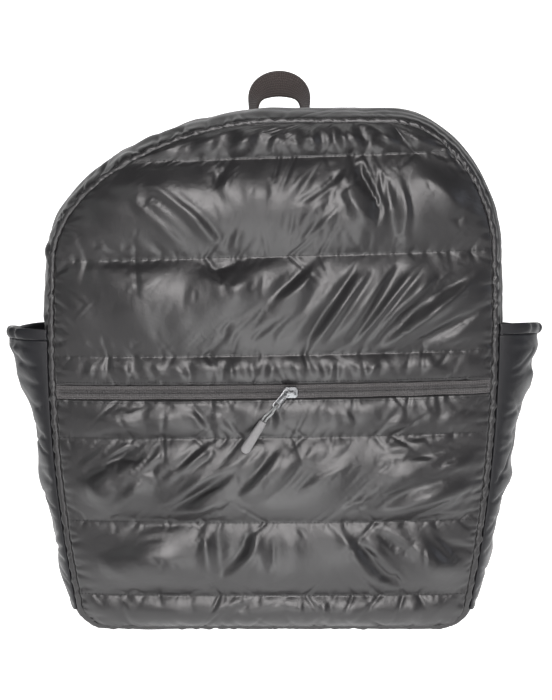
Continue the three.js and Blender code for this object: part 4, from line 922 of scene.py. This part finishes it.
def pocket_inner(side, y, height):
    share = share_at(side, height)
    return share, whole_stand(share, y) + CLOTH + GAP + pocket_reach(side, y, height)


def pocket_lip(side, y, height):
    """Heights of a pocket with the front of its mouth drawn up, as the elastic does."""
    up = np.clip((height - POCKET_BASE) / (POCKET_TOP - POCKET_BASE), 0, 1)
    across = np.clip((y - POCKET_FRONT) / (POCKET_BACK - POCKET_FRONT), 0, 1)
    return height + POCKET_LIP[side] * up**5 * np.clip(1 - 1.5 * across, 0, 1) ** 0.7


def side_pocket(word, side, seed):
    turn = np.linspace(-1, 1, 97)
    ys = (POCKET_FRONT + POCKET_BACK) / 2 + (POCKET_BACK - POCKET_FRONT) / 2 * np.sin(turn * np.pi / 2)
    heights, puffs = [], []
    for (low, high), rows in zip(zip(POCKET_SEAMS, POCKET_SEAMS[1:]), POCKET_ROWS):
        share = np.arange(rows) / rows
        heights.append(lerp(low, high, share))
        puffs.append(puffed(share))
    height = np.concatenate([*heights, [POCKET_TOP]])
    puff = np.concatenate([*puffs, [0.0]])
    y, height = np.meshgrid(ys, height)
    puff = puff[:, None] + 0 * y
    height = pocket_lip(side, y, height)
    across = (y - POCKET_FRONT) / (POCKET_BACK - POCKET_FRONT)
    share, inner = pocket_inner(side, y, height)
    edge = np.sin(np.pi * across) ** 0.5
    outer = inner + CLOTH + POCKET_PUFF * puff * edge
    front, back = y - POCKET_FRONT, POCKET_BACK - y
    folds = gathers(height, front, seed, 11, 2.2, 20, 0.6) + gathers(height, back, seed + 1, 11, 2.2, 20, 0.6)
    for k, seam in enumerate(POCKET_SEAMS[1:]):
        folds = folds + gathers(y, np.abs(height - seam), seed + 4 + k, 9, 1.8, 14, 0.7)
    folds = folds - 1.5 * swell(y, height, seed + 3, 34, 60, 1.0) * edge * puff
    line = crease(y, height, [(-34, 232), (-14, 212), (8, 196)], 6, -2.6)
    outer = outer - np.clip(folds + line, -2.6, 2.4) * np.clip(edge * 3, 0, 1)
    outer = np.maximum(outer, inner + 0.6)
    skin = ring_points(share, y, outer)
    lining = ring_points(share, y, inner)[::4, ::4]
    pocket = closed_grid(f"pocket_cloth_{word}", skin, lining, SIDE_SHELL_PAINTED_SHADE)
    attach(pocket, ROOT)
    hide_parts(f"side_pocket_{word}")

    ys = np.linspace(POCKET_FRONT, POCKET_BACK, 161)
    y, height = np.meshgrid(ys, np.linspace(POCKET_TOP + GAP, POCKET_TOP + HEM_HEIGHT, 13))
    up = (height - POCKET_TOP) / HEM_HEIGHT
    height = pocket_lip(side, y, height)
    share, inner = pocket_inner(side, y, height)
    ruffle = 1.1 * swell(y, height * 0.3, seed + 9, 9, 0, 0.15) * np.sin(np.pi * up) ** 0.5
    roll = HEM_THICKNESS * (0.5 + 0.5 * np.sin(np.pi * up) ** 0.6)
    skin = ring_points(share, y, inner + roll + ruffle)
    lining = ring_points(share, y, inner)[::4, ::4]
    hem = closed_grid(f"pocket_elastic_{word}", skin, lining, SIDE_SHELL_PAINTED_SHADE)
    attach(hem, ROOT)
    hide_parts(f"pocket_hem_{word}")


side_pocket("left", -1, 400)
side_pocket("right", 1, 440)
print("side pockets: 2, each with an elastic hem")

# %% [markdown]
# ## Back panel
# The photograph doesn't show the back, so it is finished plainly: four sewn rows with a slight puff.

# %% Back panel
BACK_SEAMS = [SEAM_BASE, 104, 215, 323, SEAM_TOP]
BACK_BELLY, BACK_PUFF = 5, 6


def back_surface(u, height, puff):
    up = np.clip((height - SEAM_BASE) / (SEAM_TOP - SEAM_BASE), 0, 1)
    belly = BACK_BELLY * np.clip(1 - u * u, 0, 1) ** 0.7 * np.sin(np.pi * up) ** 0.6
    return BACK_SEAM_Y + belly + BACK_PUFF * puff * (1 - np.abs(u) ** 6)


def back_puff(height):
    k = np.clip(np.searchsorted(BACK_SEAMS, height, side="right") - 1, 0, 3)
    seams = np.array(BACK_SEAMS, float)
    return puffed((height - seams[k]) / (seams[k + 1] - seams[k]))


def back_panel():
    height = np.concatenate([*(np.linspace(a, b, 36, endpoint=False)
                               for a, b in zip(BACK_SEAMS, BACK_SEAMS[1:])), [SEAM_TOP]])
    u, height = np.meshgrid(np.linspace(-1, 1, 161), height)
    x = lerp(edge_x(-1, height), edge_x(1, height), (u + 1) / 2)
    puff = back_puff(height)
    y = back_surface(u, height, puff) - 0.6 * np.abs(swell(x, height, 500, 40)) * puff
    for k, seam in enumerate(BACK_SEAMS):
        y -= gathers(x, np.abs(height - seam), 510 + k, 8, 0.7, 8)
    skin = np.stack([x, y, height], axis=2)
    lining = np.stack([x, back_surface(u, height, 0) - CLOTH - 0.4, height], axis=2)[::8, ::8]
    panel = closed_grid("back_quilting", skin, lining, SHELL)
    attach(panel, ROOT)
    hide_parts("back_panel")


back_panel()

# %% [markdown]
# ## Zips
# A zip is two woven tapes with a row of coils between them. The tape follows the cloth it is sewn to.
# The coil repeats the same small loop hundreds of times along a line, which is work for Geometry Nodes.

# %% Zip tapes
ZIP_TAPE = 1.2
ZIP_SINK = 4  # of the main zip, from the face of the gussets


def main_zip_stand(share, y):
    return strip_stand(share, y, ZIP_FRONT, ZIP_BACK, 0) - ZIP_SINK


def front_strip(name, node, half_width, front, thickness, columns, rows):
    u, v = np.meshgrid(np.linspace(-1, 1, columns), np.linspace(-1, 1, rows))
    height = POCKET_ZIP_HEIGHT + v * half_width + POCKET_ZIP_RISE * u / 2
    x = lerp(edge_x(-1, height), edge_x(1, height), (u + 1) / 2)
    depth = FRONT_SEAM_Y - front_belly(u, height) - front
    wave = 0.35 * swell(x, height * 0, 700, 46, 0, 0.1) + 0.25 * np.cos(v * 9)
    skin = np.stack([x, depth - thickness + wave, height], axis=2)
    lining = np.stack([x, depth, height], axis=2)[::2, ::2]
    strip = closed_grid(name, skin, lining, TAPE)
    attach(strip, ROOT)
    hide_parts(node)


front_strip("pocket_tape_weave", "pocket_zip_tape", POCKET_ZIP_WIDTH / 2 - GAP, -CLOTH, ZIP_TAPE, 241, 17)
ring_strip("main_tape_weave", arch, np.linspace(ZIP_FRONT, ZIP_BACK, 25), main_zip_stand,
           lambda share, y: 0 * y, ZIP_TAPE, TAPE, "main_zip_tape")


# %% Repeats along a line
def repeat_tree():
    """Geometry Nodes that set a small capsule along a line at a pitch, turned to it or across it."""
    tree = bpy.data.node_groups.new("capsules_on_a_line", "GeometryNodeTree")
    face = tree.interface
    face.new_socket("Geometry", in_out="INPUT", socket_type="NodeSocketGeometry")
    for label, value in (("Pitch", 0.003), ("Length", 0.002), ("Thickness", 0.0008)):
        face.new_socket(label, in_out="INPUT", socket_type="NodeSocketFloat").default_value = value
    face.new_socket("Turn", in_out="INPUT", socket_type="NodeSocketVector")
    face.new_socket("Material", in_out="INPUT", socket_type="NodeSocketMaterial")
    face.new_socket("Geometry", in_out="OUTPUT", socket_type="NodeSocketGeometry")
    make = tree.nodes.new
    given, result = make("NodeGroupInput"), make("NodeGroupOutput")
    line = make("GeometryNodeMeshToCurve")
    even = make("GeometryNodeResampleCurve")
    even.mode = "LENGTH"
    seed = make("GeometryNodeMeshUVSphere")
    seed.inputs["Segments"].default_value = 6
    seed.inputs["Rings"].default_value = 4
    seed.inputs["Radius"].default_value = 0.5
    size = make("ShaderNodeCombineXYZ")
    shape = make("GeometryNodeTransform")
    way = make("GeometryNodeInputTangent")
    turned = make("FunctionNodeAlignEulerToVector")
    turned.axis = "X"
    stamp = make("GeometryNodeInstanceOnPoints")
    real = make("GeometryNodeRealizeInstances")
    finish = make("GeometryNodeSetMaterial")
    turn = make("GeometryNodeRotateInstances")
    for source, output, target, entry in (
            (given, "Geometry", line, "Mesh"),
            (line, "Curve", even, "Curve"), (given, "Pitch", even, "Length"),
            (given, "Length", size, "X"), (given, "Thickness", size, "Y"), (given, "Thickness", size, "Z"),
            (seed, "Mesh", shape, "Geometry"), (size, "Vector", shape, "Scale"),
            (way, "Tangent", turned, "Vector"), (even, "Curve", stamp, "Points"),
            (shape, "Geometry", stamp, "Instance"), (turned, "Rotation", stamp, "Rotation"),
            (stamp, "Instances", turn, "Instances"), (given, "Turn", turn, "Rotation"),
            (turn, "Instances", real, "Geometry"), (real, "Geometry", finish, "Geometry"),
            (given, "Material", finish, "Material"), (finish, "Geometry", result, "Geometry")):
        tree.links.new(source.outputs[output], target.inputs[entry])
    return tree


CAPSULES = repeat_tree()


def along_lines(name, lines, material, pitch, length, thickness, turn=(0, 0, 0)):
    """Capsules along lines in drawing mm, as one plain mesh."""
    points, edges = [], []
    for line in lines:
        start = len(points)
        points += to_frame(line).tolist()
        edges += [(start + i, start + i + 1) for i in range(len(line) - 1)]
    mesh = bpy.data.meshes.new(name + "_lines")
    mesh.from_pydata(points, edges, [])
    work = bpy.data.objects.new(name + "_lines", mesh)
    bpy.context.scene.collection.objects.link(work)
    modifier = work.modifiers.new("capsules", "NODES")
    modifier.node_group = CAPSULES
    named = {item.name: item.identifier for item in CAPSULES.interface.items_tree if item.in_out == "INPUT"}
    values = {"Pitch": pitch * MM, "Length": length * MM, "Thickness": thickness * MM, "Turn": turn,
              "Material": material}
    for label, value in values.items():
        modifier[named[label]] = value
    graph = bpy.context.evaluated_depsgraph_get()
    made_mesh = bpy.data.meshes.new_from_object(work.evaluated_get(graph), depsgraph=graph)
    made_mesh.polygons.foreach_set("use_smooth", np.full(len(made_mesh.polygons), True))
    bpy.data.objects.remove(work)
    made = bpy.data.objects.new(name, made_mesh)
    bpy.context.scene.collection.objects.link(made)
    print(name + ":", len(made_mesh.polygons), "faces")
    return made


# %% Zip coils
def coil(name, node, lines, pitch, length, thickness, turn):
    piece = along_lines(name, lines, COIL, pitch, length, thickness, turn)
    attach(piece, ROOT)
    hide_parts(node)


def pocket_coil_line(height_shift):
    u = np.linspace(-1, 1, 241)
    height = POCKET_ZIP_HEIGHT + height_shift + POCKET_ZIP_RISE * u / 2
    x = lerp(edge_x(-1, height), edge_x(1, height), (u + 1) / 2)
    depth = FRONT_SEAM_Y - front_belly(u, height) + CLOTH - ZIP_TAPE - GAP - 0.5
    return np.stack([x, depth, height], axis=1)[2:-2]


QUARTER = math.pi / 2
coil("pocket_coil", "pocket_zip_coil", [pocket_coil_line(-1.1), pocket_coil_line(1.1)],
     1.25, 2.2, 1.0, (0, QUARTER, 0))


def main_coil_line(y):
    share = arch[2:-2]
    return ring_points(share, y + 0 * share, main_zip_stand(share, y) + 1.4)


coil("main_coil", "main_zip_coil", [main_coil_line(11.6), main_coil_line(14.4)],
     1.5, 2.8, 1.2, (0, 0, QUARTER))

# %% [markdown]
# ## Seam welts and stitches
# Where the front meets the gusset the seam allowance makes a thin puckered ridge, which catches the light.
# The quilting is a single row of stitches at the bottom of each valley, and the cloth has another row
# over and under the pocket zip.

# %% Welts
WELT_INSET = 0.6


def welt(name, y, way, seed, half_width, height):
    """A low puckered band over a seam, bedded in the cloth beside it. way is -1 for the front seam."""
    share, v = np.meshgrid(np.linspace(0, 1, 1501), np.linspace(-1, 1, 9))
    along = share * OUTLINE_LENGTH
    pucker = 1 + 0.3 * swell(along + 2.5 * v, 0 * along, seed, 6, 0, 0.05, 14)
    drift = 0.35 * swell(along, 0 * along, seed + 1, 15, 0, 0.05)
    out_x, out_z = outline_at(share)[2:]
    upright = out_x**4
    low = np.clip(-2.5 * out_z, 0, 1)
    reach = half_width * (1 + 0.2 * swell(along, 0 * along, seed + 2, 9, 0, 0.05))
    stand = 0.8 + 2.2 * upright + drift + reach * v
    proud = y + way * height * (1 - 0.8 * low) * (1 - v * v) * np.clip(pucker, 0.1, 2.2)
    made = closed_grid(name, ring_points(share, proud, stand),
                       ring_points(share, y - way + 0 * v, stand)[::4, ::4], SHELL)
    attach(made, ROOT)


welt("front_seam_welt", RING_FRONT - WELT_INSET, -1, 600, 2.2, 0.7)
welt("back_seam_welt", RING_BACK + WELT_INSET, 1, 610, 2.4, 1.2)


# %% Stitches
STITCH_LIFT = 0.3


def proud_line(grid, row):
    """A grid's row, lifted off the cloth."""
    lifted = grid + facing(grid) * STITCH_LIFT
    if (lifted[row, :, 1] > grid[row, :, 1]).mean() > 0.5:
        lifted = grid - facing(grid) * STITCH_LIFT
    return lifted[row, 1:-1]


seam_lines = [proud_line(lower_cloth, row) for row in lower_rows[1:-1]]
seam_lines += [proud_line(upper_cloth, row) for row in upper_rows[1:-1]]
edge_lines = [proud_line(lower_cloth, lower_rows[-1] - 2), proud_line(upper_cloth, 2)]
for name, lines, pitch in (("quilting_stitches", seam_lines, 3.1), ("zip_edge_stitches", edge_lines, 2.8)):
    stitches = along_lines(name, lines, THREAD, pitch, 2.2, 0.4)
    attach(stitches, ROOT)

# %% [markdown]
# ## Handle
# A loop of 25 mm webbing is folded into the back seam and turns its face to the front at its crown.

# %% Handle
HANDLE_X, HANDLE_SPREAD, HANDLE_LEAN, HANDLE_TWIST = 5, 43, 1.15, 0.5
HANDLE_FOOT_Z, HANDLE_CROWN_Z, HANDLE_Y = 434.49, 456.8, 37.7
HANDLE_FOOT, HANDLE_WIDE, HANDLE_THICK = 16, 23, 2.4


def webbing(name, line, wide_way, half_width, thickness, material, columns=17):
    """A flat band along a line in drawing mm, with slightly rounded selvedges."""
    way = units(np.gradient(line, axis=0))
    wide = units(wide_way - way * (wide_way * way).sum(axis=1, keepdims=True))
    face = np.cross(way, wide)
    a = np.linspace(-1, 1, columns)
    half_width = np.broadcast_to(half_width, len(line))
    flat = line[:, None] + wide[:, None] * (a[None, :, None] * half_width[:, None, None])
    thick = thickness / 2 * (1 - 0.45 * np.abs(a) ** 8)[None, :, None]
    return closed_grid(name, flat + face[:, None] * thick, flat - face[:, None] * thick, material)


turn = np.linspace(0, 1, 97)
handle_line = np.stack([
    HANDLE_X - HANDLE_SPREAD / 2 * np.cos(np.pi * turn), HANDLE_Y + 0 * turn,
    lerp(HANDLE_FOOT_Z, HANDLE_CROWN_Z, np.sin(np.pi * turn) ** 0.7)], axis=1)
lean = HANDLE_LEAN * np.sin(np.pi * turn) ** 0.5
handle_wide = np.stack([-HANDLE_TWIST * np.cos(np.pi * turn), np.cos(lean), np.sin(lean)], axis=1)
handle = webbing("handle_webbing_loop", handle_line, handle_wide,
                 lerp(HANDLE_FOOT, HANDLE_WIDE, np.sin(np.pi * turn)) / 2, HANDLE_THICK, WEBBING)
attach(handle, ROOT)
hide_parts("handle_loop")
print("handle:", len(handle.data.polygons), "faces")

# %% [markdown]
# ## Shoulder straps
# The straps aren't in the photograph. They are the usual ones: a padded strap from the top of the back,
# a plain adjuster, and webbing sewn into the corner of the base. The padded straps are covered in air mesh.

# %% Shoulder straps
STRAP_WIDTH, STRAP_THICKNESS, STRAP_EDGE = 58, 10, 3
STRAP_TOP_X, STRAP_END_X, STRAP_TOP_Z, STRAP_END_Z, STRAP_STAND_OFF = 44, 92, 404, 168, 24
ADJUSTER_WIDTH, ADJUSTER_HEIGHT, ADJUSTER_THICKNESS, ADJUSTER_BAR = 34, 22, 5, 4
WEBBING_WIDE, WEBBING_THICK, WEBBING_CLEAR, WEBBING_TAIL = 25, 1.6, 0.5, 48
WEBBING_END_X, WEBBING_END_Z = 132, 34


def back_clear_y(x, height, half_width):
    places = np.linspace(x - half_width, x + half_width, 7)
    return GAP + max(float(back_surface(np.clip(at / HALF_WIDTH_TOP, -1, 1), height, back_puff(height)))
                     for at in places)


def shoulder_strap(word, side):
    end_y = (back_clear_y(side * STRAP_END_X, STRAP_END_Z, ADJUSTER_WIDTH / 2)
             + ADJUSTER_THICKNESS / 2 + WEBBING_CLEAR + WEBBING_THICK)

    def strap_point(share):
        x = side * lerp(STRAP_TOP_X, STRAP_END_X, share**1.3)
        z = lerp(STRAP_TOP_Z, STRAP_END_Z, share)
        seat = back_clear_y(x, z, STRAP_WIDTH / 2) + GAP + STRAP_EDGE / 2
        return np.array([x, lerp(seat, end_y, share) + STRAP_STAND_OFF * math.sin(math.pi * share) ** 0.8, z])

    def webbing_seat(share):
        x = side * lerp(WEBBING_END_X, STRAP_END_X, share)
        z = lerp(WEBBING_END_Z, STRAP_END_Z, share)
        return np.array([x, back_clear_y(x, z, WEBBING_WIDE / 2) + WEBBING_THICK, z])

    end = strap_point(1.0)
    down = units(webbing_seat(0) - end)
    wide = units(np.cross(down, (0, 1, 0)))
    out = np.cross(wide, down)
    route = [strap_point(s) for s in np.linspace(0, 1, 9)[:-1]] + [end - down * STRAP_THICKNESS, end]
    line, _ = smooth_line(route, 121)
    way = units(np.gradient(line, axis=0))
    across_way = np.cross(way, (0, 1, 0))
    across_way = units(across_way - way * (across_way * way).sum(axis=1, keepdims=True))
    t = np.linspace(0, 1, 121)[:, None]
    a = np.linspace(-1, 1, 33)[None, :]
    half_wide = STRAP_WIDTH / 2 * lerp(1, ADJUSTER_WIDTH / STRAP_WIDTH, t**4)
    piping = 1 - 0.35 * np.exp(-((np.abs(a) - 0.86) / 0.03) ** 2)
    thick = lerp(STRAP_EDGE, STRAP_THICKNESS, np.sin(np.pi * t) ** 0.5 * (1 - a**4)) / 2 * piping
    face = np.cross(way, across_way)
    flat = line[:, None] + across_way[:, None] * (a * half_wide)[..., None]
    strap = closed_grid(f"strap_pad_{word}", flat + face[:, None] * thick[..., None],
                        flat - face[:, None] * thick[..., None], STRAP_CLOTH)
    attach(strap, ROOT)
    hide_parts(f"shoulder_strap_{word}")

    def local(along, proud):
        return end + down * along + out * proud

    bar = ADJUSTER_HEIGHT - ADJUSTER_BAR / 2
    bend = ADJUSTER_THICKNESS / 2 + WEBBING_CLEAR + WEBBING_THICK / 2
    route = [webbing_seat(0), webbing_seat(1 / 3), webbing_seat(2 / 3),
             local(bar + 2 * bend, -bend), local(bar, -bend), local(bar - bend * 0.8, -bend * 0.8),
             local(bar - bend * 1.15, 0), local(bar - bend * 0.8, bend * 0.8), local(bar, bend),
             local(bar + 2 * bend, bend), local(bar + WEBBING_TAIL, bend + 1)]
    line, _ = smooth_line(route, 161)
    band = webbing(f"strap_band_{word}", line, np.broadcast_to(wide, line.shape),
                   WEBBING_WIDE / 2, WEBBING_THICK, STRAP_WEBBING, 13)
    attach(band, ROOT)
    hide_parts(f"strap_webbing_{word}")


shoulder_strap("left", -1)
shoulder_strap("right", 1)
print("straps: 2")

# %% [markdown]
# ## Slider, tab, grip and adjusters
# These small parts keep the shapes of the frame. A merged copy gets rounded edges, because no cast or
# moulded part is sharp, and the light on its edges is what makes it read as metal or plastic.

# %% Hard parts
def rounded_copy(node, name, material, width):
    """A copy of a frame node with merged corners and rounded edges."""
    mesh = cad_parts[node].data.copy()
    mesh.name = name
    made = bpy.data.objects.new(name, mesh)
    bpy.context.scene.collection.objects.link(made)
    mesh.materials.clear()
    mesh.materials.append(material)
    weld = made.modifiers.new("weld", "WELD")
    weld.merge_threshold = 0.00001
    flat = made.modifiers.new("flat", "DECIMATE")
    flat.decimate_type = "DISSOLVE"
    flat.angle_limit = math.radians(2)
    edge = made.modifiers.new("edge", "BEVEL")
    edge.width = width * MM
    edge.segments = 3
    edge.limit_method = "ANGLE"
    edge.angle_limit = math.radians(32)
    graph = bpy.context.evaluated_depsgraph_get()
    done = bpy.data.meshes.new_from_object(made.evaluated_get(graph), depsgraph=graph)
    made.modifiers.clear()
    made.data = done
    done.polygons.foreach_set("use_smooth", np.full(len(done.polygons), True))
    done.set_sharp_from_angle(angle=math.radians(40))
    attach(made, ROOT)
    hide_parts(node)


rounded_copy("pocket_zip_slider", "slider_body", METAL, 0.35)
rounded_copy("pull_tab", "tab_plate", METAL, 0.25)
rounded_copy("main_zip_slider", "main_slider_body", METAL, 0.5)
for word in ("left", "right"):
    rounded_copy(f"strap_adjuster_{word}", f"adjuster_{word}", BUCKLE, 0.9)

# %% Grip
GRIP_TOP = np.array([-7.759, -66.415, 193.372])
GRIP_ALONG = np.array([-0.530, -0.046, -0.847])
GRIP_ACROSS = np.array([-0.848, 0.0, 0.531])
GRIP_OUT = np.array([0.024, -0.999, 0.039])
GRIP_LENGTH, GRIP_NECK, GRIP_WIDE, GRIP_THICK = 30, 6, 8.5, 4.4


def grip():
    share = np.concatenate([[0, 0.004, 0.012], np.linspace(0.03, 0.86, 40), np.linspace(0.87, 1, 18)])
    tip = GRIP_WIDE / 2 / GRIP_LENGTH
    end = np.sqrt(1 - np.clip((share - 1 + tip) / tip, 0, 0.995) ** 2) * np.clip(0.72 + share * 25, 0, 1)
    ribs = 1 - 0.05 * (np.sin(share * GRIP_LENGTH * 2 * np.pi / 2.4) > 0.55) * (share > 0.12) * (share < 0.62)
    turn = np.linspace(0, 2 * np.pi, 28, endpoint=False)
    c, s = np.cos(turn), np.sin(turn)
    wide = (lerp(GRIP_NECK, GRIP_WIDE, share) / 2 * end)[:, None] * (np.sign(c) * np.abs(c) ** 0.72)[None]
    thick = (GRIP_THICK / 2 * np.sqrt(end) * ribs)[:, None] * (np.sign(s) * np.abs(s) ** 0.72)[None]
    points = (GRIP_TOP + GRIP_ALONG * (share * GRIP_LENGTH)[:, None, None]
              + GRIP_ACROSS * wide[..., None] + GRIP_OUT * thick[..., None])
    rings, sides = wide.shape
    faces = [(ring + j, ring + (j + 1) % sides, ring + sides + (j + 1) % sides, ring + sides + j)
             for ring in range(0, (rings - 1) * sides, sides) for j in range(sides)]
    faces += [tuple(range(sides))[::-1], tuple(range((rings - 1) * sides, rings * sides))]
    if np.dot(np.cross(GRIP_ACROSS, GRIP_OUT), GRIP_ALONG) < 0:
        faces = [face[::-1] for face in faces]
    uv = np.stack([np.repeat(share * GRIP_LENGTH, sides), np.tile(turn * 3, rings)], axis=1) * MM
    made = mesh_object("grip_body", points.reshape(-1, 3), faces, GRIP, uv)
    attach(made, ROOT)
    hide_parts("pull_grip")


grip()
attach(pull_cord, ROOT)
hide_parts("pull_cord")
print("pull: slider, tab, cord and grip")

# %% [markdown]
# ## Floor and light
# The bag stands on a pale sheet that curves up behind it. Shiny cloth shows what it mirrors, so the sheet
# glows in a pool that widens away from the bag's front and is dim on both sides of it. The facets that look
# at the pool are the light patches, and those that look past it are the dark ones.

# %% Floor and backdrop
PAPER_GLOW, BACKDROP_GLOW, POOL_GLOW = 1.25, 0.86, 3.5
POOL_TIP_Y = 0.3  # where the pool's two edges would meet, behind the bag's front


def cyclorama():
    profile = [(-3.0, 0)] + [(1.0 + 0.8 * math.sin(a), 0.8 - 0.8 * math.cos(a))
                             for a in np.linspace(0, math.pi / 2, 24)] + [(1.8, 3.4)]
    points = [(x, y, z) for y, z in profile for x in (-4, 4)]
    faces = [(2 * i, 2 * i + 1, 2 * i + 3, 2 * i + 2) for i in range(len(profile) - 1)]
    sheet = bpy.data.meshes.new("pale_sheet")
    sheet.from_pydata([(x, y, z - 0.0005) for x, y, z in points], [], faces)
    sheet.polygons.foreach_set("use_smooth", np.full(len(faces), True))
    paper, tree, shader, add = new_material("pale_paper", (0.8, 0.8, 0.8), 0.95)
    place = add("ShaderNodeSeparateXYZ", {"Vector": add("ShaderNodeTexCoord").outputs["Object"]})
    aside = add("ShaderNodeMath", {0: place.outputs["X"]}, operation="ABSOLUTE")
    ahead = add("ShaderNodeMath", {1: place.outputs["Y"]}, operation="SUBTRACT")
    ahead.inputs[0].default_value = POOL_TIP_Y
    spread = add("ShaderNodeMath", {0: aside.outputs[0], 1: ahead.outputs[0]}, operation="DIVIDE")

    def eased(value, start, end, low, high):
        return add("ShaderNodeMapRange", {"Value": value}, interpolation_type="SMOOTHSTEP",
                   **{"From Min": start, "From Max": end, "To Min": low, "To Max": high}).outputs[0]

    y = place.outputs["Y"]
    glow, far = eased(spread.outputs[0], 0.02, 0.24, POOL_GLOW, 0.08), eased(y, -2.4, -1.3, 0.05, 1.0)
    pool = add("ShaderNodeMath", {0: glow, 1: far}, operation="MULTIPLY")
    near = eased(y, -0.19, -0.12, 0.0, 1.0)
    back = eased(y, 0.1, 0.5, PAPER_GLOW, BACKDROP_GLOW)
    strength = add("ShaderNodeMix", {0: near, 2: pool.outputs[0]}, data_type="FLOAT")
    tree.links.new(back, strength.inputs[3])
    shader.inputs["Emission Color"].default_value = (1, 1, 1, 1)
    tree.links.new(strength.outputs[0], shader.inputs["Emission Strength"])
    sheet.materials.append(paper)
    made = bpy.data.objects.new("pale_sheet", sheet)
    bpy.context.scene.collection.objects.link(made)
    made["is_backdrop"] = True


cyclorama()

# %% Lamps
def lamp(name, place, target, size, power, colour):
    data = bpy.data.lights.new(name, "AREA")
    data.shape = "RECTANGLE"
    data.size, data.size_y = size
    data.energy = power
    data.color = colour
    made = bpy.data.objects.new(name, data)
    made.location = place
    made.rotation_euler = (Vector(target) - Vector(place)).to_track_quat("-Z", "Y").to_euler()
    bpy.context.scene.collection.objects.link(made)


lamp("window_front", (0.03, -1.9, 0.9), (0, 0, 0.22), (0.9, 1.0), 30, (1.0, 0.97, 0.97))
lamp("window_left", (-1.5, -1.3, 0.9), (0, 0, 0.25), (0.3, 0.6), 1.6, (0.95, 1.0, 0.98))
lamp("panel_right", (1.6, -0.4, 0.7), (0.15, 0, 0.22), (0.25, 0.8), 1.5, (0.8, 0.86, 1.0))
lamp("panel_over", (0.1, 0.1, 1.9), (0, 0, 0.3), (1.2, 0.5), 4, (1.0, 0.99, 0.98))

world = bpy.data.worlds.new("studio")
bpy.context.scene.world = world
world.use_nodes = True
world.node_tree.nodes["Background"].inputs["Color"].default_value = (0.95, 0.98, 1.0, 1)
world.node_tree.nodes["Background"].inputs["Strength"].default_value = 0.17
bpy.context.scene.view_settings.view_transform = "Standard"
print("lamps:", len(bpy.data.lights))

# %% [markdown]
# ## Sizes
# The cloth may stand a little proud of the CAD body, but the bag keeps its real size. The model's box is
# printed.

# %% Sizes
low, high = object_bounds()
print("model box:", [round(v, 4) for v in (*low, *high)])
